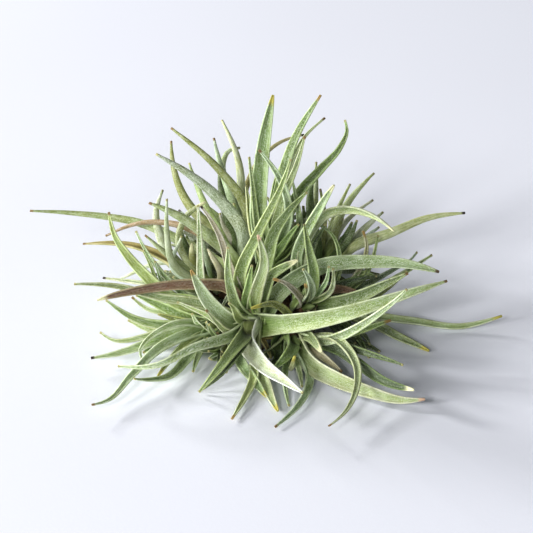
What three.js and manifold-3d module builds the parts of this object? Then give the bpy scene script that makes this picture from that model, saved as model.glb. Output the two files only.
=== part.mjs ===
// An air plant: a clump of leafy rosettes round one woody root crown, resting on a flat surface.
// Millimetres, +Z up. The origin is the middle of the crown's small flat underside, on the surface.
//
// Each visible leaf is set by the places where its midline shows in the photograph, as pixels of the
// 533 x 533 frame, and by how far it leans out of the picture plane. The leaves that the photograph
// hides follow a spiral rule. Every leaf is bent clear of the rosettes that already stand there.
import * as THREE from "three";
import { mergeVertices } from "three/addons/utils/BufferGeometryUtils.js";
import Module from "manifold-3d";

// ---- driving dimensions ----
const MM_PER_PIXEL = 0.32; // makes the clump 150 mm across and its broad blades 5 mm wide
const FRAME_MIDDLE = 266.5; // pixels
const ORIGIN_PIXEL = [266, 322]; // where the underside of the crown lies in the photograph
const SIGHT_DISTANCE = 700; // from the eye to the picture plane through the origin
const SIGHT_ELEVATION = THREE.MathUtils.degToRad(30);

// The woody crown: a lump that lies inside a ball, cut flat where it rests.
const CROWN = {
  centre: new THREE.Vector3(0, 0, 4),
  radius: 9.5,
  clearShare: 0.75, // of that radius, kept clear of leaves round the centre
  clearDepth: 0.1, // and this far below it
  sides: 12,
  profile: [[0, 0], [6, 0], [8.4, 1.6], [9.2, 4.5], [8.3, 8.6], [5.6, 11.6], [2.4, 13.1], [0, 13.4]],
};
const CLEAR_GAP = 0.45; // between two rosettes
const SEAT_GAP = 0.3; // between a rosette's stem and the crown
const LOWEST_EDGE = 0.35; // a leaf keeps at least this far above the surface

// A rosette's stem swells under its heart; the swell's places are distances below the heart.
const STEM = {
  sides: 8,
  footRadius: 1.7,
  swell: [[9, 2.6], [5, 3.7], [2, 3.2], [0, 1.2]],
  tip: 0.6,
  clearRadius: 3.2,
};
const ROOT_SINK = 2.2; // how far below a rosette's heart its innermost leaf starts
const DEEPEST_ROOT = 9; // and its outermost leaf
const DEEPEST_ANGLE = THREE.MathUtils.degToRad(110); // which leans this far from the stem's axis
const ROOT_SIDE = 1.1; // how far off the stem's axis a leaf starts
const PUP_SIZE = 0.55; // the offshoot is this small beside the others

const BLADE = {
  stations: [4, 7], // the fewest and most along a blade
  stationLength: 8.5,
  rootShare: 0.55, // a blade is this much narrower where it leaves the stem
  rootStretch: 0.2,
  join: 0.02, // edges shorter than this are closed up after a join
  thickness: 1.5, // at the base of a broad leaf
  tipThickness: 0.7,
  thicknessPerWidth: 0.42,
  leastThickness: 0.9,
  tipWidth: 0.7,
  taper: [2, 0.8], // the two powers of its narrowing
  channel: 0.17, // the margins stand this share of the width above the midrib
  endBend: 0.5, // how much the ends of a midline carry on the bend beside them
};

// ---- leaf colours ----
const COLOURS = { leaf: 0x9fb08a, crown: 0x6b5540 };

// ---- the rosettes: where the heart of each shows, and how far it is in front of the picture plane ----
const HEADS = {
  heart: { pixel: [246, 331], depth: 27, bare: true }, // no short upright leaves stand in it
  crest: { pixel: [268, 250], depth: 8 },
  right: { pixel: [316, 306], depth: 18 },
  right_low: { pixel: [300, 345], depth: 24 },
  right_side: { pixel: [345, 308], depth: 6 },
  right_upper: { pixel: [335, 262], depth: -2 },
  left: { pixel: [203, 328], depth: 16 },
  left_upper: { pixel: [192, 282], depth: 2 },
  rear_top: { pixel: [240, 258], depth: 0 },
  pup: { pixel: [222, 350], depth: 27, small: true },
  rear: { place: [-8, 23, 10] },
  rear_right: { place: [12, 23, 7] },
  rear_left: { place: [-21, 15, 6] },
};

// ---- the leaves that show: width in mm at the base, lean in degrees towards the eye, places in pixels ----
const leaf = (head, name, width, lean, ...pixels) => ({ head, name, width, lean, pixels });
const SEEN_WIDTH = 1.12; // a blade seen askew looks this much narrower than it is
const SEEN_LEAVES = [
  leaf("heart", "broad_right", 5.6, 10, [284, 323], [343, 313], [404, 295], [447, 281]),
  leaf("heart", "white_front", 5.6, 50, [249, 342], [257, 356], [269, 370], [287, 383], [303, 393]),
  leaf("heart", "silver_left", 5.4, 36, [228, 318], [210, 300], [191, 270]),
  leaf("heart", "long_left", 3.0, 20, [228, 337], [194, 348], [156, 365], [118, 366]),
  leaf("heart", "pale_tall", 3.8, 12, [241, 280], [258, 234], [283, 183], [291, 159]),
  leaf("heart", "white_margined", 3.8, 38, [254, 308], [259, 285], [264, 262], [258, 235]),
  leaf("heart", "silver_upright", 3.4, 34, [237, 306], [231, 286], [228, 265], [228, 247]),
  leaf("heart", "green_inner", 3.0, 36, [246, 298], [249, 281], [252, 265]),
  leaf("heart", "lime_tip", 3.0, 60, [240, 317], [234, 308], [229, 303]),
  leaf("heart", "short_mint", 3.2, 22, [267, 290], [273, 275], [284, 267], [298, 260]),
  leaf("heart", "channelled_up", 5.2, 6, [268, 256], [275, 230], [287, 213], [307, 192]),
  leaf("heart", "long_level_right", 4.8, -8, [288, 283], [320, 266], [366, 262], [416, 266], [439, 272]),
  leaf("heart", "mauve_up", 2.9, 6, [231, 269], [221, 237], [201, 206]),
  leaf("heart", "purple_left", 3.2, 12, [228, 287], [196, 284], [154, 287], [112, 295], [97, 300]),
  leaf("heart", "pale_left", 2.8, 8, [203, 303], [160, 296], [119, 286], [74, 284]),
  leaf("heart", "broad_green_left", 4.4, 0, [215, 309], [182, 298], [152, 295]),
  leaf("heart", "toothed", 2.2, 40, [229, 331], [216, 321], [206, 310]),
  leaf("heart", "thin_pale_left", 2.0, 20, [221, 324], [207, 315], [177, 302]),
  leaf("heart", "front_pale", 3.6, 26, [260, 373], [267, 384], [273, 399], [278, 411]),
  leaf("heart", "front_narrow", 3.2, 28, [241, 358], [253, 379], [267, 397]),
  leaf("heart", "front_olive", 2.8, 28, [253, 384], [246, 397], [232, 419]),
  leaf("heart", "low_green", 4.0, 30, [225, 361], [210, 379], [199, 392]),
  leaf("heart", "low_mint", 2.0, 34, [233, 358], [226, 373]),
  leaf("crest", "tallest_green", 5.0, 20, [259, 215], [261, 160], [273, 95]),
  leaf("crest", "tallest_olive", 3.8, 5, [277, 205], [291, 151], [321, 95]),
  leaf("crest", "olive_twin", 2.8, 16, [285, 195], [298, 160], [305, 136]),
  leaf("crest", "thin_behind", 2.0, -15, [290, 170], [306, 136], [325, 118]),
  leaf("crest", "curled_olive", 4.0, -10, [302, 193], [322, 169], [341, 146], [347, 131], [345, 120]),
  leaf("crest", "silver_crossing", 3.0, 26, [288, 212], [277, 175], [259, 150]),
  leaf("crest", "white_edge", 2.2, 24, [255, 215], [252, 185], [249, 157]),
  leaf("crest", "mint_stub", 2.8, 28, [284, 243], [299, 224]),
  leaf("right", "upright_channelled", 4.6, 20, [313, 272], [308, 250], [304, 224]),
  leaf("right", "mint_up_right", 3.2, 22, [297, 254], [307, 228], [320, 205], [334, 185]),
  leaf("right", "arching_yellow", 3.2, 12, [306, 238], [326, 214], [350, 209], [375, 216], [394, 231]),
  leaf("right", "silver_short", 3.0, 58, [311, 292], [303, 269]),
  leaf("right", "mint_thin", 2.0, 35, [324, 285], [329, 266]),
  leaf("right", "silver_thin", 2.2, 26, [331, 288], [333, 268]),
  leaf("right", "olive_thin", 1.9, 60, [308, 296], [305, 284]),
  leaf("right", "mauve_curl", 2.0, 50, [301, 304], [294, 290], [284, 282], [273, 279]),
  leaf("right", "broad_channelled", 5.2, 4, [340, 303], [360, 296], [382, 285], [408, 273]),
  leaf("right", "brown_middle", 3.2, -14, [335, 289], [365, 295]),
  leaf("right", "dark_middle", 3.2, -20, [345, 282], [377, 276]),
  leaf("right_low", "white_right", 3.2, 38, [330, 338], [355, 328], [378, 314], [396, 300], [407, 289]),
  leaf("right_low", "orange_tip", 2.6, 8, [326, 338], [352, 332], [391, 320]),
  leaf("right_low", "small_low_right", 2.8, 38, [345, 345], [371, 353], [403, 365]),
  leaf("right_low", "pale_low_right", 3.2, 40, [343, 352], [358, 363], [385, 381], [414, 390]),
  leaf("right_low", "long_low_right", 5.2, 30, [315, 366], [336, 378], [370, 392], [403, 400], [425, 399]),
  leaf("right_low", "s_curve", 2.8, 42, [340, 342], [357, 365], [355, 394], [346, 411], [329, 426]),
  leaf("right_low", "low_hook", 2.8, 38, [309, 378], [304, 395], [292, 412], [275, 427]),
  leaf("right_low", "low_short", 2.4, 46, [298, 368], [302, 387]),
  leaf("right_low", "low_tiny", 2.2, 50, [284, 385], [289, 406]),
  leaf("right_low", "dark_diagonal", 4.8, 48, [291, 349], [282, 359], [271, 371]),
  leaf("right_low", "short_white", 3.2, 54, [309, 335], [318, 345], [322, 352]),
  leaf("right_low", "beige_low", 3.2, 36, [324, 357], [342, 372]),
  leaf("right_low", "olive_curl", 2.2, 20, [290, 317], [273, 304], [251, 308]),
  leaf("right_side", "far_right", 2.3, 0, [386, 318], [412, 321], [460, 327], [502, 316]),
  leaf("right_side", "yellow_tip", 3.0, 16, [381, 328], [395, 335], [429, 351]),
  leaf("right_side", "small_down", 2.2, 28, [357, 337], [369, 358]),
  leaf("right_side", "beige_thin", 1.9, 4, [360, 268], [366, 246], [363, 231]),
  leaf("right_side", "green_thin", 1.9, -10, [370, 265], [378, 235]),
  leaf("right_side", "dark_curve", 2.0, 12, [340, 262], [333, 236], [317, 224]),
  leaf("right_side", "behind_right", 2.2, -20, [395, 277], [432, 255]),
  leaf("right_upper", "long_right", 3.4, -8, [353, 248], [390, 233], [430, 218], [465, 213]),
  leaf("right_upper", "green_up", 3.0, -15, [342, 212], [354, 194], [374, 173]),
  leaf("right_upper", "thin_up", 1.9, -20, [335, 215], [350, 184]),
  leaf("right_upper", "brown_tip", 1.9, -16, [324, 216], [320, 189]),
  leaf("right_upper", "dark_up", 2.8, -14, [314, 218], [315, 187], [316, 162]),
  leaf("right_upper", "thin_side", 1.9, -26, [352, 215], [373, 200]),
  leaf("right_upper", "green_side", 3.0, -22, [355, 237], [383, 212]),
  leaf("right_upper", "blue_side", 2.4, -32, [357, 243], [379, 227]),
  leaf("right_upper", "dark_side", 2.8, 6, [345, 243], [357, 220]),
  leaf("left", "bright_up", 4.6, 10, [160, 287], [130, 258], [116, 237], [109, 212]),
  leaf("left", "thin_up", 2.0, -4, [163, 274], [150, 257], [136, 231]),
  leaf("left", "white_edge_up", 2.6, 16, [205, 290], [201, 254], [198, 205]),
  leaf("left", "long_drooping", 3.2, 38, [181, 338], [160, 349], [131, 376], [107, 401], [92, 405]),
  leaf("left", "curvy_low", 3.2, 42, [188, 358], [168, 377], [148, 380], [134, 379]),
  leaf("left", "yellow_small", 1.9, 40, [175, 354], [158, 376]),
  leaf("left", "dark_small", 3.0, 44, [201, 352], [193, 372]),
  leaf("left", "black_dot", 3.6, 18, [170, 336], [123, 352], [91, 358]),
  leaf("left", "light_curve", 2.4, 5, [168, 329], [144, 337], [111, 339], [100, 332]),
  leaf("left", "pale_hook", 2.2, 30, [164, 328], [146, 341], [140, 351], [142, 360]),
  leaf("left", "green_level", 3.0, 4, [172, 324], [133, 317], [106, 300]),
  leaf("left", "green_under", 2.6, -8, [155, 331], [128, 320]),
  leaf("left", "short_upper", 2.2, -5, [164, 312], [149, 309], [132, 297]),
  leaf("left_upper", "orange_brown", 3.2, -6, [163, 259], [136, 247], [83, 244]),
  leaf("left_upper", "olive_short", 2.8, 6, [170, 255], [145, 235]),
  leaf("left_upper", "lime_upright", 2.6, 28, [173, 262], [168, 235], [167, 199]),
  leaf("left_upper", "mint_bent", 2.2, 2, [180, 237], [187, 217], [206, 202]),
  leaf("left_upper", "blue_stub", 4.4, -22, [166, 245], [157, 212], [163, 190]),
  leaf("left_upper", "grey_thin", 2.0, -14, [165, 286], [140, 283], [103, 278]),
  leaf("rear_top", "far_left", 3.4, -6, [186, 246], [139, 224], [106, 217], [70, 213], [30, 211]),
  leaf("rear_top", "mauve_left", 2.4, -16, [205, 238], [179, 225], [153, 222], [106, 236]),
  leaf("rear_top", "silver_brown_tip", 4.6, 24, [219, 246], [186, 221], [149, 203]),
  leaf("rear_top", "blue_silver", 4.3, 12, [240, 230], [216, 198], [190, 176], [156, 154]),
  leaf("rear_top", "olive_long", 3.2, -4, [246, 212], [219, 171], [171, 128]),
  leaf("rear_top", "olive_behind", 3.6, -16, [205, 225], [187, 203], [173, 166], [171, 141]),
  leaf("rear_top", "lime_behind", 2.9, -10, [214, 222], [198, 190], [189, 163]),
  leaf("rear_top", "green_pointed", 3.6, -14, [236, 212], [222, 168], [214, 138]),
  leaf("rear_top", "mint_hooked", 2.4, -26, [230, 192], [223, 163], [229, 151], [240, 148]),
  leaf("rear_top", "grey_tall", 3.4, -22, [243, 195], [239, 163], [222, 120]),
  leaf("rear_top", "brown_arch", 2.2, -30, [247, 190], [262, 158], [283, 141], [304, 135]),
  leaf("rear_top", "pink_strip", 1.9, -20, [230, 214], [230, 191]),
];

// ---- the leaves that the photograph hides: how many a rosette has, and the longest of them ----
const HIDDEN_LEAVES = {
  right_low: { count: 4, length: 22 },
  crest: { count: 5, length: 34 },
  right: { count: 4, length: 26 },
  right_side: { count: 6, length: 36 },
  right_upper: { count: 5, length: 34 },
  left: { count: 2, length: 28 },
  left_upper: { count: 10, length: 38 },
  pup: { count: 6, length: 10 },
  rear: { count: 15, length: 48 },
  rear_right: { count: 15, length: 46 },
  rear_left: { count: 26, length: 46 },
};
// The short upright leaves at the heart of every rosette that isn't bare.
const HEART_LEAVES = {
  count: 4,
  length: 15,
  shrink: 0.12, // from each leaf to the next
  width: 2.8,
  tilt: 12,
  tiltStep: 5,
  curl: 10,
  start: 20, // degrees round the stem
  turn: 100,
};
const SPIRAL = {
  turn: 137.5077, // degrees from each leaf to the next
  innerTilt: 18,
  outerTilt: 88,
  spread: 0.8, // the power by which the tilts grow from the inside out
  curl: 34, // how much further a leaf leans at its tip
  curlShares: [0.5, 1.3],
  lengthShares: [0.72, 1],
  widths: [2.8, 4.4],
  stretches: 3,
  seed: 20417,
  crossingShare: 0.6, // of its half width, by which a hidden leaf may not cover one that shows
};
// In the photograph no hidden leaf reaches out of this oval, in pixels.
const HIDDEN_OVAL = { middle: [262, 302], across: 124, up: 106 };

const ROOTS = {
  count: 10,
  radius: 0.6,
  sides: 4,
  length: 24,
  start: 6.5, // from the crown's axis
  rise: 1.2,
  fall: 1.6, // a root is down on the surface before its end by this factor
  wave: 1.8,
  waveTurns: [5, 6], // of the wave, by the root's direction and along it
  steps: 6,
};

// How far a leaf may be bent, the least first: degrees of lean or tilt, and millimetres of bow.
const LEANS = [0, 4, -4, 8, -8, 12, -12, 17, -17, 22, -22, 28, -28, 34, -34];
const BOWS = [0, 3, -3, 6, -6, 10, -10];
const BEND_COST = ([lean, bow]) => Math.abs(lean) / 4 + Math.abs(bow) / 3;
const BENDS = LEANS.flatMap((lean) => BOWS.map((bow) => [lean, bow])).sort(
  (a, b) => BEND_COST(a) - BEND_COST(b),
);
const MOST_LEAN = 70; // degrees, of a leaf that shows
const LEAST_TILT = 0.1; // radians off the stem's axis, of a hidden leaf
const SHRINKS = [1, 0.86, 0.72, 0.58];
const SIDESTEPS = [0, 13, -13, 27, -27];
const ROOT_SIDESTEPS = [...SIDESTEPS, 20, -20, 6, -6];

const MERGE = 1e-4; // corners of a skin closer than this are one
const TOUCHING = 1e-6;
const PARALLEL = 1e-9;
const NEAR_UPRIGHT = 0.9; // of an axis's upward share

const { degToRad, lerp, clamp } = THREE.MathUtils;
const vec = (x, y, z) => new THREE.Vector3(x, y, z);
const UP = vec(0, 0, 1);

// ---- the photograph's frame ----
const ACROSS = vec(1, 0, 0);
const UPWARD = vec(0, Math.sin(SIGHT_ELEVATION), Math.cos(SIGHT_ELEVATION));
const AHEAD = vec(0, Math.cos(SIGHT_ELEVATION), -Math.sin(SIGHT_ELEVATION));
const EYE = vec(0, 0, 0)
  .addScaledVector(ACROSS, (FRAME_MIDDLE - ORIGIN_PIXEL[0]) * MM_PER_PIXEL)
  .addScaledVector(UPWARD, (ORIGIN_PIXEL[1] - FRAME_MIDDLE) * MM_PER_PIXEL)
  .addScaledVector(AHEAD, -SIGHT_DISTANCE);

// The ray from the eye through a pixel, one picture-plane distance long.
function sightRay([px, py]) {
  return AHEAD.clone()
    .multiplyScalar(SIGHT_DISTANCE)
    .addScaledVector(ACROSS, (px - FRAME_MIDDLE) * MM_PER_PIXEL)
    .addScaledVector(UPWARD, (FRAME_MIDDLE - py) * MM_PER_PIXEL);
}

// The point that shows at a pixel and lies a given depth in front of the picture plane.
function placeInSight(pixel, depth) {
  return EYE.clone().addScaledVector(sightRay(pixel), 1 - depth / SIGHT_DISTANCE);
}

// The depth at which a pixel's ray comes down to a given height.
function depthAtHeight(pixel, height) {
  return SIGHT_DISTANCE * (1 - (height - EYE.z) / sightRay(pixel).z);
}

// Where a point shows, and its depth in front of the picture plane.
function showOf(point) {
  const fromEye = point.clone().sub(EYE);
  const share = fromEye.dot(AHEAD) / SIGHT_DISTANCE;
  return {
    pixel: [
      FRAME_MIDDLE + fromEye.dot(ACROSS) / share / MM_PER_PIXEL,
      FRAME_MIDDLE - fromEye.dot(UPWARD) / share / MM_PER_PIXEL,
    ],
    depth: SIGHT_DISTANCE * (1 - share),
  };
}

// ---- seeded draws, each from 0 up to 1 ----
const DRAW = { times: 1664525, plus: 1013904223, range: 4294967296 };
function drawsFrom(seed) {
  let state = seed;
  return () => {
    state = (Math.imul(state, DRAW.times) + DRAW.plus) >>> 0;
    return state / DRAW.range;
  };
}

// ---- rosettes ----
const heads = Object.fromEntries(
  Object.entries(HEADS).map(([name, spec]) => {
    const heart = spec.place ? vec(...spec.place) : placeInSight(spec.pixel, spec.depth);
    const axis = heart.clone().sub(CROWN.centre);
    const stemLength = axis.length() - CROWN.radius - SEAT_GAP;
    axis.normalize();
    const { small = false, bare = false } = spec;
    return [name, { name, heart, axis, stemLength, small, bare, size: small ? PUP_SIZE : 1 }];
  }),
);

// Where a leaf that grows in a direction starts: outer leaves start lower on the stem.
function rootOf(head, direction) {
  const angle = head.axis.angleTo(direction);
  const outward = direction.clone().projectOnPlane(head.axis).normalize();
  const sink = lerp(ROOT_SINK, DEEPEST_ROOT, Math.min(1, angle / DEEPEST_ANGLE)) * head.size;
  return {
    start: head.heart
      .clone()
      .addScaledVector(head.axis, -sink)
      .addScaledVector(outward, ROOT_SIDE * head.size),
    outward,
  };
}

// ---- a leaf's midline: a smooth curve through its points, evenly sampled by chord ----
function midlineThrough(points, count) {
  const steps = points.slice(1).map((p, i) => p.distanceTo(points[i]));
  const slopes = points.slice(1).map((p, i) => p.clone().sub(points[i]).divideScalar(steps[i]));
  const tangents = points.map((_, i) => {
    if (i === 0) return slopes[0].clone();
    if (i === points.length - 1) return slopes[i - 1].clone();
    const share = steps[i - 1] / (steps[i - 1] + steps[i]);
    return slopes[i - 1].clone().lerp(slopes[i], share);
  });
  if (points.length > 2) {
    const last = points.length - 1;
    tangents[0].lerp(tangents[1], -BLADE.endBend);
    tangents[last].lerp(tangents[last - 1], -BLADE.endBend);
  }
  const total = steps.reduce((sum, step) => sum + step, 0);
  const midline = [];
  for (let k = 0; k <= count; k++) {
    let along = (total * k) / count;
    let i = 0;
    while (i < steps.length - 1 && along > steps[i]) {
      along -= steps[i];
      i += 1;
    }
    const h = steps[i];
    const u = Math.min(1, along / h);
    midline.push(
      vec(0, 0, 0)
        .addScaledVector(points[i], 2 * u ** 3 - 3 * u ** 2 + 1)
        .addScaledVector(tangents[i], h * (u ** 3 - 2 * u ** 2 + u))
        .addScaledVector(points[i + 1], 3 * u ** 2 - 2 * u ** 3)
        .addScaledVector(tangents[i + 1], h * (u ** 3 - u ** 2)),
    );
  }
  return midline;
}

// A blade's cross-sections along its midline: it narrows to the tip, and its channelled face turns
// towards the rosette's axis.
function sectionsOf({ points, width, axis, outward }) {
  let length = 0;
  points.slice(1).forEach((p, i) => (length += p.distanceTo(points[i])));
  const count = clamp(Math.round(length / BLADE.stationLength), ...BLADE.stations);
  const midline = midlineThrough(points, count);
  const thick = clamp(width * BLADE.thicknessPerWidth, BLADE.leastThickness, BLADE.thickness);
  return midline.map((at, k) => {
    const share = k / count;
    const before = midline[Math.max(0, k - 1)];
    const after = midline[Math.min(count, k + 1)];
    const along = after.clone().sub(before).normalize();
    const face = axis
      .clone()
      .multiplyScalar(along.dot(outward))
      .addScaledVector(outward, -along.dot(axis))
      .projectOnPlane(along)
      .normalize();
    const opening = Math.min(1, lerp(BLADE.rootShare, 1, share / BLADE.rootStretch));
    const taper = opening * (1 - share ** BLADE.taper[0]) ** BLADE.taper[1];
    return {
      at,
      face,
      side: along.clone().cross(face),
      width: Math.max(BLADE.tipWidth, width * taper),
      thickness: lerp(thick, BLADE.tipThickness, share),
    };
  });
}

// The stretches of a blade as flat boxes, for finding how clear two blades are.
function stretchesOf(sections) {
  const middles = sections.map(({ at, face, width, thickness }) =>
    at.clone().addScaledVector(face, (BLADE.channel * width - thickness) / 2),
  );
  return sections.slice(1).map((next, i) => {
    const here = sections[i];
    return {
      from: middles[i],
      to: middles[i + 1],
      side: here.side,
      face: here.face,
      halfWidth: here.width / 2,
      halfThickness: (BLADE.channel * here.width + here.thickness) / 2,
    };
  });
}

// The shortest link between two straight stretches.
function linkBetween(a, b) {
  const d1 = a.to.clone().sub(a.from);
  const d2 = b.to.clone().sub(b.from);
  const r = a.from.clone().sub(b.from);
  const aa = d1.dot(d1);
  const ee = d2.dot(d2);
  const f = d2.dot(r);
  const c = d1.dot(r);
  const bb = d1.dot(d2);
  const denominator = aa * ee - bb * bb;
  let s = denominator > PARALLEL ? clamp((bb * f - c * ee) / denominator, 0, 1) : 0;
  let t = (bb * s + f) / ee;
  if (t < 0) {
    t = 0;
    s = clamp(-c / aa, 0, 1);
  } else if (t > 1) {
    t = 1;
    s = clamp((bb - c) / aa, 0, 1);
  }
  return r.addScaledVector(d1, s).addScaledVector(d2, -t);
}

// How clear two stretches are: their distance less what each reaches towards the other.
function clearanceOf(a, b) {
  const link = linkBetween(a, b);
  const distance = link.length();
  if (distance < TOUCHING) return -(a.halfThickness + b.halfThickness);
  link.divideScalar(distance);
  const reach = ({ side, face, halfWidth, halfThickness }) =>
    Math.abs(link.dot(side)) * halfWidth + Math.abs(link.dot(face)) * halfThickness;
  return distance - reach(a) - reach(b);
}

function boundsOf(stretches) {
  const sphere = new THREE.Box3()
    .setFromPoints(stretches.flatMap(({ from, to }) => [from, to]))
    .getBoundingSphere(new THREE.Sphere());
  sphere.radius += Math.max(...stretches.map(({ halfWidth }) => halfWidth)) * Math.SQRT2;
  return sphere;
}

// ---- what already stands: every blade, stem and root, by the node that it belongs to ----
const standing = [];
function stand(node, stretches) {
  standing.push({ node, stretches, bounds: boundsOf(stretches) });
}

function clearanceFrom(node, stretches, enough) {
  const bounds = boundsOf(stretches);
  let least = Infinity;
  for (const other of standing) {
    if (other.node === node) continue;
    const apart = bounds.center.distanceTo(other.bounds.center);
    if (apart > bounds.radius + other.bounds.radius + enough) continue;
    for (const a of stretches) {
      for (const b of other.stretches) least = Math.min(least, clearanceOf(a, b));
    }
  }
  return least;
}

// What the leaves that show cover in the photograph: stretches with half their width in pixels.
const shown = [];

function show(sections) {
  const seen = sections.map(({ at }) => showOf(at));
  seen.slice(1).forEach((to, i) => {
    shown.push({ from: seen[i], to, half: sections[i].width / 2 / MM_PER_PIXEL });
  });
}

// Whether a blade passes in front of a leaf that shows, anywhere but at its root.
function crossesShown(sections) {
  return sections.slice(1).some(({ at, width }) => {
    const { pixel, depth } = showOf(at);
    const reach = (width / 2 / MM_PER_PIXEL) * SPIRAL.crossingShare;
    return shown.some(({ from, to, half }) => {
      const [rx, ry] = [to.pixel[0] - from.pixel[0], to.pixel[1] - from.pixel[1]];
      const [ax, ay] = [pixel[0] - from.pixel[0], pixel[1] - from.pixel[1]];
      const share = clamp((ax * rx + ay * ry) / (rx * rx + ry * ry), 0, 1);
      const gap = Math.hypot(ax - rx * share, ay - ry * share);
      return gap < half + reach && depth > lerp(from.depth, to.depth, share);
    });
  });
}

// Whether a hidden leaf is clear of the other rosettes and, unless the offshoot's, behind what shows.
function isClear(head, sections, stretches) {
  if (!head.small && crossesShown(sections)) return false;
  return clearanceFrom(head.name, stretches, CLEAR_GAP) >= CLEAR_GAP;
}

function lowestEdge(sections) {
  return Math.min(
    ...sections.flatMap(({ at, side, face, width, thickness }) => {
      const margin = at.z + face.z * BLADE.channel * width;
      const half = (Math.abs(side.z) * width) / 2;
      return [margin - half, at.z - face.z * thickness];
    }),
  );
}

// ---- the leaves that show ----
function seenPoints(head, spec, lean, bow) {
  const last = spec.pixels.length - 1;
  const tipGuess = placeInSight(spec.pixels[last], showOf(head.heart).depth);
  const { start, outward } = rootOf(head, tipGuess.sub(head.heart));
  const root = showOf(start);
  let runs = 0;
  const lengths = spec.pixels.map(([px, py], i) => {
    const [qx, qy] = i === 0 ? root.pixel : spec.pixels[i - 1];
    runs += Math.hypot(px - qx, py - qy) * MM_PER_PIXEL;
    return runs;
  });
  const points = spec.pixels.map((pixel, i) => {
    const share = lengths[i] / runs;
    const leaning = lengths[i] * Math.tan(degToRad(lean));
    const bowing = bow * 4 * share * (1 - share);
    const height = LOWEST_EDGE + lerp(BLADE.thickness, BLADE.tipThickness, share);
    const depth = Math.max(root.depth + leaning + bowing, depthAtHeight(pixel, height));
    return placeInSight(pixel, depth);
  });
  return { points: [start, ...points], outward };
}

function growSeen(spec) {
  const head = heads[spec.head];
  const width = spec.width * SEEN_WIDTH;
  let best = null;
  for (const [bend, bow] of BENDS) {
    const lean = clamp(spec.lean + bend, -MOST_LEAN, MOST_LEAN);
    const { points, outward } = seenPoints(head, spec, lean, bow);
    const sections = sectionsOf({ points, width, axis: head.axis, outward });
    const stretches = stretchesOf(sections);
    const low = Math.min(0, lowestEdge(sections) - LOWEST_EDGE / 2);
    const clear = Math.min(clearanceFrom(head.name, stretches, CLEAR_GAP), CLEAR_GAP) + low;
    if (!best || clear > best.clear + TOUCHING) best = { clear, sections, stretches };
    if (clear >= CLEAR_GAP) break;
  }
  stand(head.name, best.stretches);
  show(best.sections);
  return { head: head.name, sections: best.sections };
}

// ---- the leaves that the photograph hides ----
function hiddenPoints(head, { tilt, azimuth, length, curl }) {
  const base = Math.abs(head.axis.z) > NEAR_UPRIGHT ? ACROSS : UP;
  const east = base.clone().cross(head.axis).normalize();
  const north = head.axis.clone().cross(east);
  const outwardAim = east.multiplyScalar(Math.cos(azimuth)).addScaledVector(north, Math.sin(azimuth));
  const towards = (angle) =>
    head.axis.clone().multiplyScalar(Math.cos(angle)).addScaledVector(outwardAim, Math.sin(angle));
  const { start, outward } = rootOf(head, towards(tilt));
  const points = [start];
  const stretch = length / SPIRAL.stretches;
  for (let k = 0; k < SPIRAL.stretches; k++) {
    const angle = tilt + (curl * k) / (SPIRAL.stretches - 1);
    const next = points[k].clone().addScaledVector(towards(angle), stretch);
    next.z = Math.max(next.z, LOWEST_EDGE + BLADE.thickness);
    points.push(next);
  }
  return { points, outward };
}

function insideOval(points) {
  return points.slice(1).every((point) => {
    const [px, py] = showOf(point).pixel;
    const [mx, my] = HIDDEN_OVAL.middle;
    return Math.hypot((px - mx) / HIDDEN_OVAL.across, (py - my) / HIDDEN_OVAL.up) < 1;
  });
}

function growHeartLeaf(head, k) {
  const { length, shrink, width, tilt, tiltStep, curl, start, turn } = HEART_LEAVES;
  const { points, outward } = hiddenPoints(head, {
    tilt: degToRad(tilt + k * tiltStep),
    azimuth: degToRad(start + k * turn),
    length: length * head.size * (1 - shrink * k),
    curl: degToRad(curl),
  });
  const sections = sectionsOf({ points, width: width * head.size, axis: head.axis, outward });
  const stretches = stretchesOf(sections);
  if (!isClear(head, sections, stretches)) return null;
  stand(head.name, stretches);
  return { head: head.name, sections };
}

function growHidden(head, aim, width) {
  for (const shrink of SHRINKS) {
    for (const sidestep of SIDESTEPS) {
      for (const bend of LEANS) {
        const { points, outward } = hiddenPoints(head, {
          tilt: Math.max(LEAST_TILT, aim.tilt + degToRad(bend)),
          azimuth: aim.azimuth + degToRad(sidestep),
          length: aim.length * shrink,
          curl: aim.curl,
        });
        if (!insideOval(points)) continue;
        const sections = sectionsOf({ points, width, axis: head.axis, outward });
        if (lowestEdge(sections) < LOWEST_EDGE / 2) continue;
        const stretches = stretchesOf(sections);
        if (!isClear(head, sections, stretches)) continue;
        stand(head.name, stretches);
        return { head: head.name, sections };
      }
    }
  }
  return null;
}

// ---- wiry roots, low down between the rosettes ----
// A root's midline wanders to both sides as it comes down to the surface.
function rootPath(azimuth, shrink) {
  const outward = vec(Math.cos(azimuth), Math.sin(azimuth), 0);
  const aside = vec(-outward.y, outward.x, 0);
  const [turnsRound, turnsAlong] = ROOTS.waveTurns;
  const points = [];
  for (let k = 0; k <= ROOTS.steps; k++) {
    const share = k / ROOTS.steps;
    const fallen = Math.min(1, share * ROOTS.fall);
    const wave = Math.sin(azimuth * turnsRound + share * turnsAlong);
    points.push(
      vec(0, 0, lerp(ROOTS.rise, LOWEST_EDGE + ROOTS.radius, fallen))
        .addScaledVector(outward, ROOTS.start + ROOTS.length * shrink * share)
        .addScaledVector(aside, ROOTS.wave * share * wave),
    );
  }
  return points;
}

function growRoot(azimuth) {
  for (const sidestep of ROOT_SIDESTEPS) {
    for (const shrink of SHRINKS) {
      const path = rootPath(azimuth + degToRad(sidestep), shrink);
      const stretches = path.slice(1).map((to, i) => ({
        from: path[i],
        to,
        side: ACROSS,
        face: UP,
        halfWidth: ROOTS.radius,
        halfThickness: ROOTS.radius,
      }));
      if (clearanceFrom("crown", stretches, CLEAR_GAP) < CLEAR_GAP) continue;
      stand("crown", stretches);
      return path;
    }
  }
  return null;
}

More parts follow.
